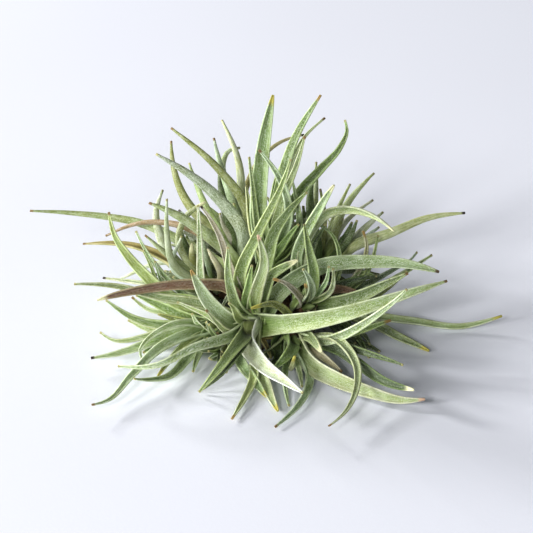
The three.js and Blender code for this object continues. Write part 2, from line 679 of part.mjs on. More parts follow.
// ---- solids ----
const wasm = await Module();
wasm.setup();

function solidFrom(geometry) {
  const bare = geometry.clone();
  bare.deleteAttribute("normal");
  bare.deleteAttribute("uv");
  const merged = mergeVertices(bare, MERGE);
  return new wasm.Manifold(
    new wasm.Mesh({
      numProp: 3,
      vertProperties: new Float32Array(merged.attributes.position.array),
      triVerts: new Uint32Array(merged.index.array),
    }),
  );
}

// A blade as a closed skin: four edges (two margins, midrib and keel) between a root and a tip.
function bladeGeometry(sections) {
  const corners = sections.slice(0, -1).flatMap(({ at, face, side, width, thickness }) => {
    const lift = BLADE.channel * width;
    const corner = (across, out) =>
      at.clone().addScaledVector(side, across).addScaledVector(face, out);
    return [corner(-width / 2, lift), corner(0, -thickness), corner(width / 2, lift), corner(0, 0)];
  });
  corners.push(sections[sections.length - 1].at.clone());
  const tip = corners.length - 1;
  const rings = sections.length - 1;
  const faces = [0, 1, 2, 0, 2, 3];
  for (let ring = 0; ring < rings; ring++) {
    for (let edge = 0; edge < 4; edge++) {
      const a = ring * 4 + edge;
      const b = ring * 4 + ((edge + 1) % 4);
      if (ring === rings - 1) faces.push(a, tip, b);
      else faces.push(a, b + 4, b, a, a + 4, b + 4);
    }
  }
  return new THREE.BufferGeometry().setFromPoints(corners).setIndex(faces);
}

function stemGeometry(head) {
  const { size, stemLength } = head;
  const swell = STEM.swell.map(([below, r]) => [r * size, stemLength - below * size]);
  const profile = [[0, 0], [STEM.footRadius * size, 0], ...swell, [0, stemLength + STEM.tip]].map(
    ([r, z]) => new THREE.Vector2(r, z),
  );
  const turn = new THREE.Quaternion().setFromUnitVectors(vec(0, 1, 0), head.axis);
  const foot = head.heart.clone().addScaledVector(head.axis, -stemLength);
  return new THREE.LatheGeometry(profile, STEM.sides)
    .applyQuaternion(turn)
    .translate(foot.x, foot.y, foot.z);
}

function standStem(head) {
  const base = Math.abs(head.axis.z) > NEAR_UPRIGHT ? ACROSS : UP;
  const side = head.axis.clone().cross(base).normalize();
  const radius = STEM.clearRadius * head.size;
  stand(head.name, [
    {
      from: head.heart.clone().addScaledVector(head.axis, -head.stemLength),
      to: head.heart,
      side,
      face: side.clone().cross(head.axis),
      halfWidth: radius,
      halfThickness: radius,
    },
  ]);
}

function crownGeometry() {
  const profile = CROWN.profile.map(([r, z]) => new THREE.Vector2(r, z));
  return new THREE.LatheGeometry(profile, CROWN.sides).rotateX(Math.PI / 2);
}

function rootGeometry(path) {
  const outline = new THREE.Shape(
    Array.from({ length: ROOTS.sides }, (_, i) => {
      const angle = (2 * Math.PI * i) / ROOTS.sides;
      return new THREE.Vector2(ROOTS.radius * Math.cos(angle), ROOTS.radius * Math.sin(angle));
    }),
  );
  return new THREE.ExtrudeGeometry(outline, {
    steps: ROOTS.steps,
    extrudePath: new THREE.CatmullRomCurve3(path),
    bevelEnabled: false,
  });
}

// The largest body of a join: sealed hollows are filled and loose scraps dropped.
function wholeOf(solid) {
  const bodies = solid.simplify(BLADE.join).decompose();
  return bodies.reduce((a, b) => (a.volume() > b.volume() ? a : b));
}

function meshOf(name, solid, colour) {
  const { numProp, vertProperties, triVerts } = solid.getMesh();
  const geometry = new THREE.BufferGeometry();
  const positions = new Float32Array((vertProperties.length / numProp) * 3);
  for (let i = 0; i < positions.length / 3; i++) {
    positions.set(vertProperties.subarray(i * numProp, i * numProp + 3), i * 3);
  }
  geometry.setAttribute("position", new THREE.BufferAttribute(positions, 3));
  geometry.setIndex(new THREE.BufferAttribute(triVerts, 1));
  geometry.computeVertexNormals();
  const mesh = new THREE.Mesh(
    geometry,
    new THREE.MeshStandardMaterial({ color: colour, roughness: 0.7, metalness: 0, flatShading: true }),
  );
  mesh.name = name;
  return mesh;
}

// ---- growing ----
Object.values(heads).forEach(standStem);
stand("crown", [
  {
    from: CROWN.centre.clone().addScaledVector(UP, -CROWN.clearDepth),
    to: CROWN.centre,
    side: ACROSS,
    face: UP,
    halfWidth: CROWN.radius * CROWN.clearShare,
    halfThickness: CROWN.radius * CROWN.clearShare,
  },
]);

const grown = SEEN_LEAVES.map(growSeen);
for (const head of Object.values(heads).filter(({ bare }) => !bare)) {
  for (let k = 0; k < HEART_LEAVES.count; k++) grown.push(growHeartLeaf(head, k));
}
const draw = drawsFrom(SPIRAL.seed);
for (const [name, { count, length }] of Object.entries(HIDDEN_LEAVES)) {
  const phase = draw() * 2 * Math.PI;
  for (let k = 0; k < count; k++) {
    const share = (k + 0.5) / count;
    const aim = {
      tilt: degToRad(lerp(SPIRAL.innerTilt, SPIRAL.outerTilt, share ** SPIRAL.spread)),
      azimuth: phase + degToRad(k * SPIRAL.turn),
      length: length * lerp(...SPIRAL.lengthShares, draw()),
      curl: degToRad(SPIRAL.curl * lerp(...SPIRAL.curlShares, draw())),
    };
    const width = lerp(...SPIRAL.widths, draw()) * heads[name].size;
    grown.push(growHidden(heads[name], aim, width));
  }
}

const rootPhase = draw() * Math.PI;
const wiryRoots = Array.from({ length: ROOTS.count }, (_, k) =>
  growRoot(rootPhase + (2 * Math.PI * k) / ROOTS.count),
).filter(Boolean);

const root = new THREE.Group();
let crown = solidFrom(crownGeometry());
for (const path of wiryRoots) crown = crown.add(solidFrom(rootGeometry(path)));
root.add(meshOf("root_crown", wholeOf(crown), COLOURS.crown));

for (const head of Object.values(heads)) {
  let solid = solidFrom(stemGeometry(head));
  for (const { sections } of grown.filter((found) => found?.head === head.name)) {
    solid = solid.add(solidFrom(bladeGeometry(sections)));
  }
  root.add(meshOf(`${head.name}_rosette`, wholeOf(solid), COLOURS.leaf));
}

export default root;
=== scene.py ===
"""An air plant at rest on a pale floor: leafy rosettes round one woody root crown.

The growth is worked out in millimetres, by the rules of the part's own source and in the same order,
so that every leaf lies where its solid lies. Meshes are then made in metres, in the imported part's
frame: +Z up, with the origin under the middle of the crown.
"""

import logging
import math
from collections.abc import Iterable, Iterator, Sequence
from dataclasses import dataclass, field
from enum import Enum
from functools import cached_property
from itertools import product

import bpy
import numpy as np
from mathutils import Matrix


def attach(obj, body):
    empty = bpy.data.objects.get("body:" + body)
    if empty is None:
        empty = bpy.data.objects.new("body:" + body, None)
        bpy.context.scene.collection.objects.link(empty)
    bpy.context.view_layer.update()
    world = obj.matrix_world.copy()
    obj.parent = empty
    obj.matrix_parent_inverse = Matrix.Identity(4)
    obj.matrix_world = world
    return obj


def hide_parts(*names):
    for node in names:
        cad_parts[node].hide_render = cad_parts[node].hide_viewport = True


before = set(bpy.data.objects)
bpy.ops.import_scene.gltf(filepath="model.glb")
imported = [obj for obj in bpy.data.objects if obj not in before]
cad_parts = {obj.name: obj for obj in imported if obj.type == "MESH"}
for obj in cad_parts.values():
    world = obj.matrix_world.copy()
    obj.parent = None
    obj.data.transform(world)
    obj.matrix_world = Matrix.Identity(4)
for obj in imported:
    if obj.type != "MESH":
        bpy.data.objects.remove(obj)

log = logging.getLogger("air_plant")

Material = bpy.types.Material
Socket = bpy.types.NodeSocket
Vec = np.ndarray
Colour = tuple[float, float, float]
Place = tuple[float, float, float]
Pair = tuple[float, float]
Pixel = tuple[float, float]

METRES = 0.001  # in a millimetre

CLEAR_GAP = 0.45  # between two rosettes, in mm
SEAT_GAP = 0.3  # between a rosette's stem and the crown
LOWEST_EDGE = 0.35  # a leaf keeps at least this far above the surface
TOUCHING = 1e-6
PARALLEL = 1e-9
NEAR_UPRIGHT = 0.9  # of an axis's upward share

# How far a leaf may be bent, the least first: degrees of lean or tilt, and millimetres of bow.
LEANS = (0, 4, -4, 8, -8, 12, -12, 17, -17, 22, -22, 28, -28, 34, -34)
BOWS = (0, 3, -3, 6, -6, 10, -10)
LEAN_STEP, BOW_STEP = 4, 3  # a lean and a bow that cost as much as each other
BENDS = sorted(
    product(LEANS, BOWS), key=lambda bend: abs(bend[0]) / LEAN_STEP + abs(bend[1]) / BOW_STEP
)
SLIM_BENDS = BENDS[:30]
MOST_LEAN = 70.0  # degrees, of a leaf that shows
LEAST_TILT = 0.1  # radians off the stem's axis, of a hidden leaf
SHRINKS = (1.0, 0.86, 0.72, 0.58)
SIDESTEPS = (0, 13, -13, 27, -27)
ROOT_SIDESTEPS = (*SIDESTEPS, 20, -20, 6, -6)

X_AXIS = np.array([1.0, 0.0, 0.0])
UP = np.array([0.0, 0.0, 1.0])


def lerp(low: float | Vec, high: float | Vec, share: float | Vec) -> float | Vec:
    """The value a share of the way from low to high."""
    return low + (high - low) * share


def unit(vectors: Vec) -> Vec:
    """The vectors, each divided by its length."""
    return vectors / np.linalg.norm(vectors, axis=-1, keepdims=True)


def cross(a: Vec, b: Vec) -> Vec:
    """The cross products of vectors, worked out one component at a time."""
    ax, ay, az = a[..., 0], a[..., 1], a[..., 2]
    bx, by, bz = b[..., 0], b[..., 1], b[..., 2]
    return np.stack([ay * bz - az * by, az * bx - ax * bz, ax * by - ay * bx], axis=-1)


def dot(a: Vec, b: Vec) -> Vec:
    """The dot products of the vectors in a and b."""
    return (a * b).sum(axis=-1)


def smooth(low: float, high: float, values: Vec) -> Vec:
    """0 below low, 1 above high, and 3t^2 - 2t^3 between them, where t runs from 0 to 1."""
    t = np.clip((values - low) / (high - low), 0.0, 1.0)
    return t * t * (3 - 2 * t)


def turns(count: int) -> Vec:
    """A whole turn in equal steps, in radians, without its end."""
    return np.linspace(0.0, 2 * math.pi, count, endpoint=False)


def spokes(turn: Vec, east: Vec, north: Vec) -> Vec:
    """The directions that lie some turns round from east towards north."""
    return np.cos(turn)[..., None] * east + np.sin(turn)[..., None] * north


def above_floor(places: Vec, least: float) -> Vec:
    """Places, none of them lower than the least height in mm."""
    return np.concatenate([places[..., :2], np.maximum(places[..., 2:], least)], axis=-1)


class Draws:
    """Seeded draws from 0 up to 1, each from the last by one multiplication and one sum."""

    TIMES = 1664525
    PLUS = 1013904223
    RANGE = 4294967296

    def __init__(self, seed: int) -> None:
        """Starts the run of draws at a seed."""
        self.state = seed

    def __call__(self) -> float:
        """The next draw."""
        self.state = (self.state * self.TIMES + self.PLUS) % self.RANGE
        return self.state / self.RANGE


# ---- the photograph's frame ----


@dataclass(frozen=True)
class Sight:
    """How the photograph's pixels lie in space, in millimetres, for an eye that looks down at the plant."""

    mm_per_pixel: float = 0.32
    frame_pixels: float = 533.0
    origin_pixel: Pixel = (266.0, 322.0)  # where the underside of the crown lies
    distance: float = 700.0  # from the eye to the picture plane through the origin
    elevation: float = math.radians(30.0)

    @cached_property
    def middle(self) -> float:
        """The middle of the frame, in pixels."""
        return self.frame_pixels / 2

    @cached_property
    def upward(self) -> Vec:
        """The direction that is up in the picture."""
        return np.array([0.0, math.sin(self.elevation), math.cos(self.elevation)])

    @cached_property
    def ahead(self) -> Vec:
        """The direction of sight."""
        return np.array([0.0, math.cos(self.elevation), -math.sin(self.elevation)])

    @cached_property
    def eye(self) -> Vec:
        """The place of the eye."""
        aside = (self.middle - self.origin_pixel[0]) * self.mm_per_pixel
        above = (self.origin_pixel[1] - self.middle) * self.mm_per_pixel
        return aside * X_AXIS + above * self.upward - self.distance * self.ahead

    def rays(self, pixels: Vec) -> Vec:
        """The rays from the eye through pixels, each one picture-plane distance long.

        Args:
            pixels: n x 2 places in the photograph.

        Returns:
            n x 3 vectors.
        """
        aside = (pixels[..., :1] - self.middle) * self.mm_per_pixel
        above = (self.middle - pixels[..., 1:]) * self.mm_per_pixel
        return self.distance * self.ahead + aside * X_AXIS + above * self.upward

    def place(self, pixels: Vec, depths: Vec) -> Vec:
        """The points that show at pixels and lie some depths in front of the picture plane.

        Args:
            pixels: n x 2 places in the photograph.
            depths: n depths in mm.

        Returns:
            n x 3 points: the eye plus the ray times 1 - depth / distance.
        """
        share = 1 - np.asarray(depths, float) / self.distance
        return self.eye + self.rays(pixels) * share[..., None]

    def depth_at_height(self, pixels: Vec, heights: Vec) -> Vec:
        """The depths at which pixels' rays come down to some heights above the surface."""
        return self.distance * (1 - (heights - self.eye[2]) / self.rays(pixels)[..., 2])

    def show(self, points: Vec) -> tuple[Vec, Vec]:
        """Where points show.

        Args:
            points: n x 3 points in mm.

        Returns:
            Their n x 2 pixels, and their n depths in front of the picture plane.
        """
        from_eye = points - self.eye
        share = dot(from_eye, self.ahead) / self.distance
        px = self.middle + dot(from_eye, X_AXIS) / share / self.mm_per_pixel
        py = self.middle - dot(from_eye, self.upward) / share / self.mm_per_pixel
        return np.stack([px, py], axis=-1), self.distance * (1 - share)


SIGHT = Sight()


# ---- the plant's sizes, in millimetres ----


@dataclass(frozen=True)
class Crown:
    """The woody crown: a lump inside a ball, cut flat where it rests."""

    centre: Place = (0.0, 0.0, 4.0)
    radius: float = 9.5
    clear_share: float = 0.75
    clear_depth: float = 0.1
    profile: tuple[Pair, ...] = (  # radius and height, from the middle of the underside up
        (0.0, 0.0), (6.0, 0.0), (8.4, 1.6), (9.2, 4.5), (8.3, 8.6), (5.6, 11.6), (2.4, 13.1), (0.0, 13.4),
    )  # fmt: skip


@dataclass(frozen=True)
class StemSizes:
    """A rosette's stem: it swells under the heart, by places given as distances below it."""

    foot_radius: float = 1.7
    swell: tuple[Pair, ...] = ((9.0, 2.6), (5.0, 3.7), (2.0, 3.2), (0.0, 1.2))
    tip: float = 0.6
    clear_radius: float = 3.2
    root_sink: float = 2.2  # how far below the heart the innermost leaf starts
    deepest_root: float = 9.0  # and the outermost leaf
    deepest_angle: float = math.radians(110.0)  # which leans this far from the stem's axis
    root_side: float = 1.1  # how far off the stem's axis a leaf starts
    pup_size: float = 0.55


@dataclass(frozen=True)
class BladeSizes:
    """The solid blade that a leaf is grown with, before its fine skin is put on."""

    stations: tuple[int, int] = (4, 7)
    station_length: float = 8.5
    root_share: float = 0.55
    root_stretch: float = 0.2
    thickness: float = 1.5
    tip_thickness: float = 0.7
    thickness_per_width: float = 0.42
    least_thickness: float = 0.9
    tip_width: float = 0.7
    taper: Pair = (2.0, 0.8)  # the powers of its narrowing
    channel: float = 0.17
    end_bend: float = 0.5
    seen_width: float = 1.12  # a blade seen askew looks this much narrower than it is


@dataclass(frozen=True)
class HeartLeaves:
    """The short upright leaves at the heart of every rosette."""

    count: int = 4
    length: float = 15.0
    shrink: float = 0.12
    width: float = 2.8
    tilt: float = 12.0
    tilt_step: float = 5.0
    curl: float = 10.0
    start: float = 20.0
    turn: float = 100.0


@dataclass(frozen=True)
class Spiral:
    """The rule of the leaves that the photograph hides."""

    turn: float = 137.5077  # degrees from each leaf to the next
    inner_tilt: float = 18.0
    outer_tilt: float = 88.0
    spread: float = 0.8
    curl: float = 34.0
    curl_shares: Pair = (0.5, 1.3)
    length_shares: Pair = (0.72, 1.0)
    widths: Pair = (2.8, 4.4)
    stretches: int = 3
    seed: int = 20417
    crossing_share: float = 0.6  # of its half width, by which a hidden leaf may not cover one that shows
    oval_middle: Pixel = (262.0, 302.0)  # no hidden leaf reaches out of this oval in the photograph
    oval_reach: Pair = (124.0, 106.0)


@dataclass(frozen=True)
class RootSizes:
    """The wiry roots that lie round the crown."""

    count: int = 10
    radius: float = 0.6
    length: float = 24.0
    start: float = 6.5
    rise: float = 1.2
    fall: float = 1.6
    wave: float = 1.8
    wave_turns: Pair = (5.0, 6.0)
    steps: int = 6


CROWN = Crown()
STEM = StemSizes()
BLADE = BladeSizes()
HEART_LEAVES = HeartLeaves()
SPIRAL = Spiral()
ROOTS = RootSizes()


# ---- leaf finishes ----


@dataclass(frozen=True)
class TintColours:
    """What colours one kind of leaf wears, as sRGB numbers from 0 to 255."""

    channel: Colour  # down the middle of the inner face
    body: Colour  # the inner face beside it
    back: Colour  # the outer face
    margin: Colour  # the thick pale edge
    silver: float  # how thickly the silver scales lie


class Tint(Enum):
    """The kinds of leaf that the photograph shows, by their colour; the darkest stands for painted shade.
    """

    GREEN = TintColours((111, 136, 65), (158, 180, 112), (173, 189, 132), (232, 245, 207), 0.4)
    SAGE = TintColours((121, 143, 82), (168, 185, 130), (180, 194, 150), (232, 241, 214), 0.55)
    SILVER = TintColours((149, 170, 114), (199, 214, 169), (216, 224, 192), (249, 252, 233), 0.85)
    MINT = TintColours((138, 169, 107), (181, 202, 157), (197, 211, 184), (241, 245, 234), 0.7)
    PALE = TintColours((161, 180, 119), (199, 209, 168), (212, 218, 196), (249, 250, 237), 0.55)
    LIME = TintColours((153, 167, 93), (195, 208, 146), (210, 220, 177), (246, 251, 222), 0.35)
    OLIVE = TintColours((112, 121, 58), (150, 159, 89), (164, 169, 111), (207, 215, 165), 0.3)
    # painted shade: a dark green worn by leaves that stand in shade among the others
    DARK = TintColours((54, 75, 30), (84, 105, 50), (99, 119, 65), (148, 164, 114), 0.3)
    BLUE = TintColours((112, 133, 99), (152, 170, 142), (168, 182, 161), (213, 221, 206), 0.75)
    WHITE = TintColours((192, 206, 166), (222, 229, 219), (229, 232, 237), (244, 245, 250), 0.95)
    MAUVE = TintColours((150, 135, 120), (177, 164, 153), (189, 178, 170), (217, 211, 199), 0.45)
    PURPLE = TintColours((124, 90, 76), (148, 118, 100), (162, 138, 116), (226, 230, 186), 0.25)
    RUSSET = TintColours((173, 154, 101), (207, 188, 135), (214, 206, 160), (217, 211, 170), 0.2)
    BEIGE = TintColours((180, 168, 140), (198, 191, 166), (210, 203, 187), (224, 219, 197), 0.4)
    DRY = TintColours((91, 68, 46), (118, 93, 66), (135, 108, 80), (152, 128, 97), 0.05)


class Tip(Enum):
    """How a leaf's tip is coloured, over how many millimetres, and how blunt it is."""

    PLAIN = ((176, 172, 124), 0.7, 0.0)
    BROWN = ((140, 118, 80), 1.1, 0.0)
    BLACK = ((62, 52, 44), 1.1, 0.0)
    DARK_BLUNT = ((104, 88, 62), 1.4, 0.7)
    ORANGE = ((172, 148, 92), 2.2, 0.3)
    YELLOW = ((190, 184, 100), 3.2, 0.8)
    CREAM = ((226, 226, 190), 3.2, 1.0)
    PINK = ((208, 182, 158), 2.0, 0.3)


# What the hidden leaves wear, each kind in turn; the darkest is painted shade.
GROWN_TINTS = (
    Tint.GREEN, Tint.SAGE, Tint.GREEN, Tint.MINT, Tint.OLIVE, Tint.SILVER, Tint.SAGE, Tint.DARK,
)  # fmt: skip
GROWN_TIPS = (Tip.BROWN, Tip.PLAIN, Tip.PLAIN, Tip.PLAIN, Tip.PLAIN)


# ---- the rosettes and the leaves that show ----


@dataclass(frozen=True)
class HeadPlace:
    """Where a rosette's heart is: by a pixel and a depth, or hidden, by a place in mm."""

    name: str
    pixel: Pixel | None = None
    depth: float = 0.0
    place: Place | None = None
    small: bool = False
    hidden_count: int = 0
    hidden_length: float = 0.0
    bare: bool = False  # no short upright leaves stand at its heart


HEAD_PLACES = (
    HeadPlace("heart", (246, 331), 27, bare=True),
    HeadPlace("crest", (268, 250), 8, hidden_count=5, hidden_length=34),
    HeadPlace("right", (316, 306), 18, hidden_count=4, hidden_length=26),
    HeadPlace("right_low", (300, 345), 24, hidden_count=4, hidden_length=22),
    HeadPlace("right_side", (345, 308), 6, hidden_count=6, hidden_length=36),
    HeadPlace("right_upper", (335, 262), -2, hidden_count=5, hidden_length=34),
    HeadPlace("left", (203, 328), 16, hidden_count=2, hidden_length=28),
    HeadPlace("left_upper", (192, 282), 2, hidden_count=10, hidden_length=38),
    HeadPlace("rear_top", (240, 258), 0),
    HeadPlace("pup", (222, 350), 27, small=True, hidden_count=6, hidden_length=10),
    HeadPlace("rear", place=(-8, 23, 10), hidden_count=15, hidden_length=48),
    HeadPlace("rear_right", place=(12, 23, 7), hidden_count=15, hidden_length=46),
    HeadPlace("rear_left", place=(-21, 15, 6), hidden_count=26, hidden_length=46),
)
# The order in which the rosettes grow the leaves that the photograph hides.
HIDDEN_ORDER = (
    "right_low", "crest", "right", "right_side", "right_upper",
    "left", "left_upper", "pup", "rear", "rear_right", "rear_left",
)  # fmt: skip


@dataclass(frozen=True)
class SeenLeaf:
    """A leaf that shows, of the rosette called head."""

    head: str
    name: str
    width: float  # at the base, in mm
    lean: float  # towards the eye, in degrees
    tint: Tint
    tip: Tip
    pixels: tuple[Pixel, ...]  # that its midline passes, the last of them its tip


def leaves_of(*rows: str | tuple) -> list[SeenLeaf]:
    """The leaves of a table in which each rosette's name stands before the rows of its leaves.

    Args:
        rows: a name, or a leaf's name, width, lean and tint, its tip unless it is plain, and its pixels.

    Returns:
        The leaves, in the table's order.
    """
    found, head = [], ""
    for row in rows:
        if isinstance(row, str):
            head = row
            continue
        name, width, lean, tint, *pixels = row
        tip = pixels.pop(0) if isinstance(pixels[0], Tip) else Tip.PLAIN
        found.append(SeenLeaf(head, name, width, lean, tint, tip, tuple(pixels)))
    return found


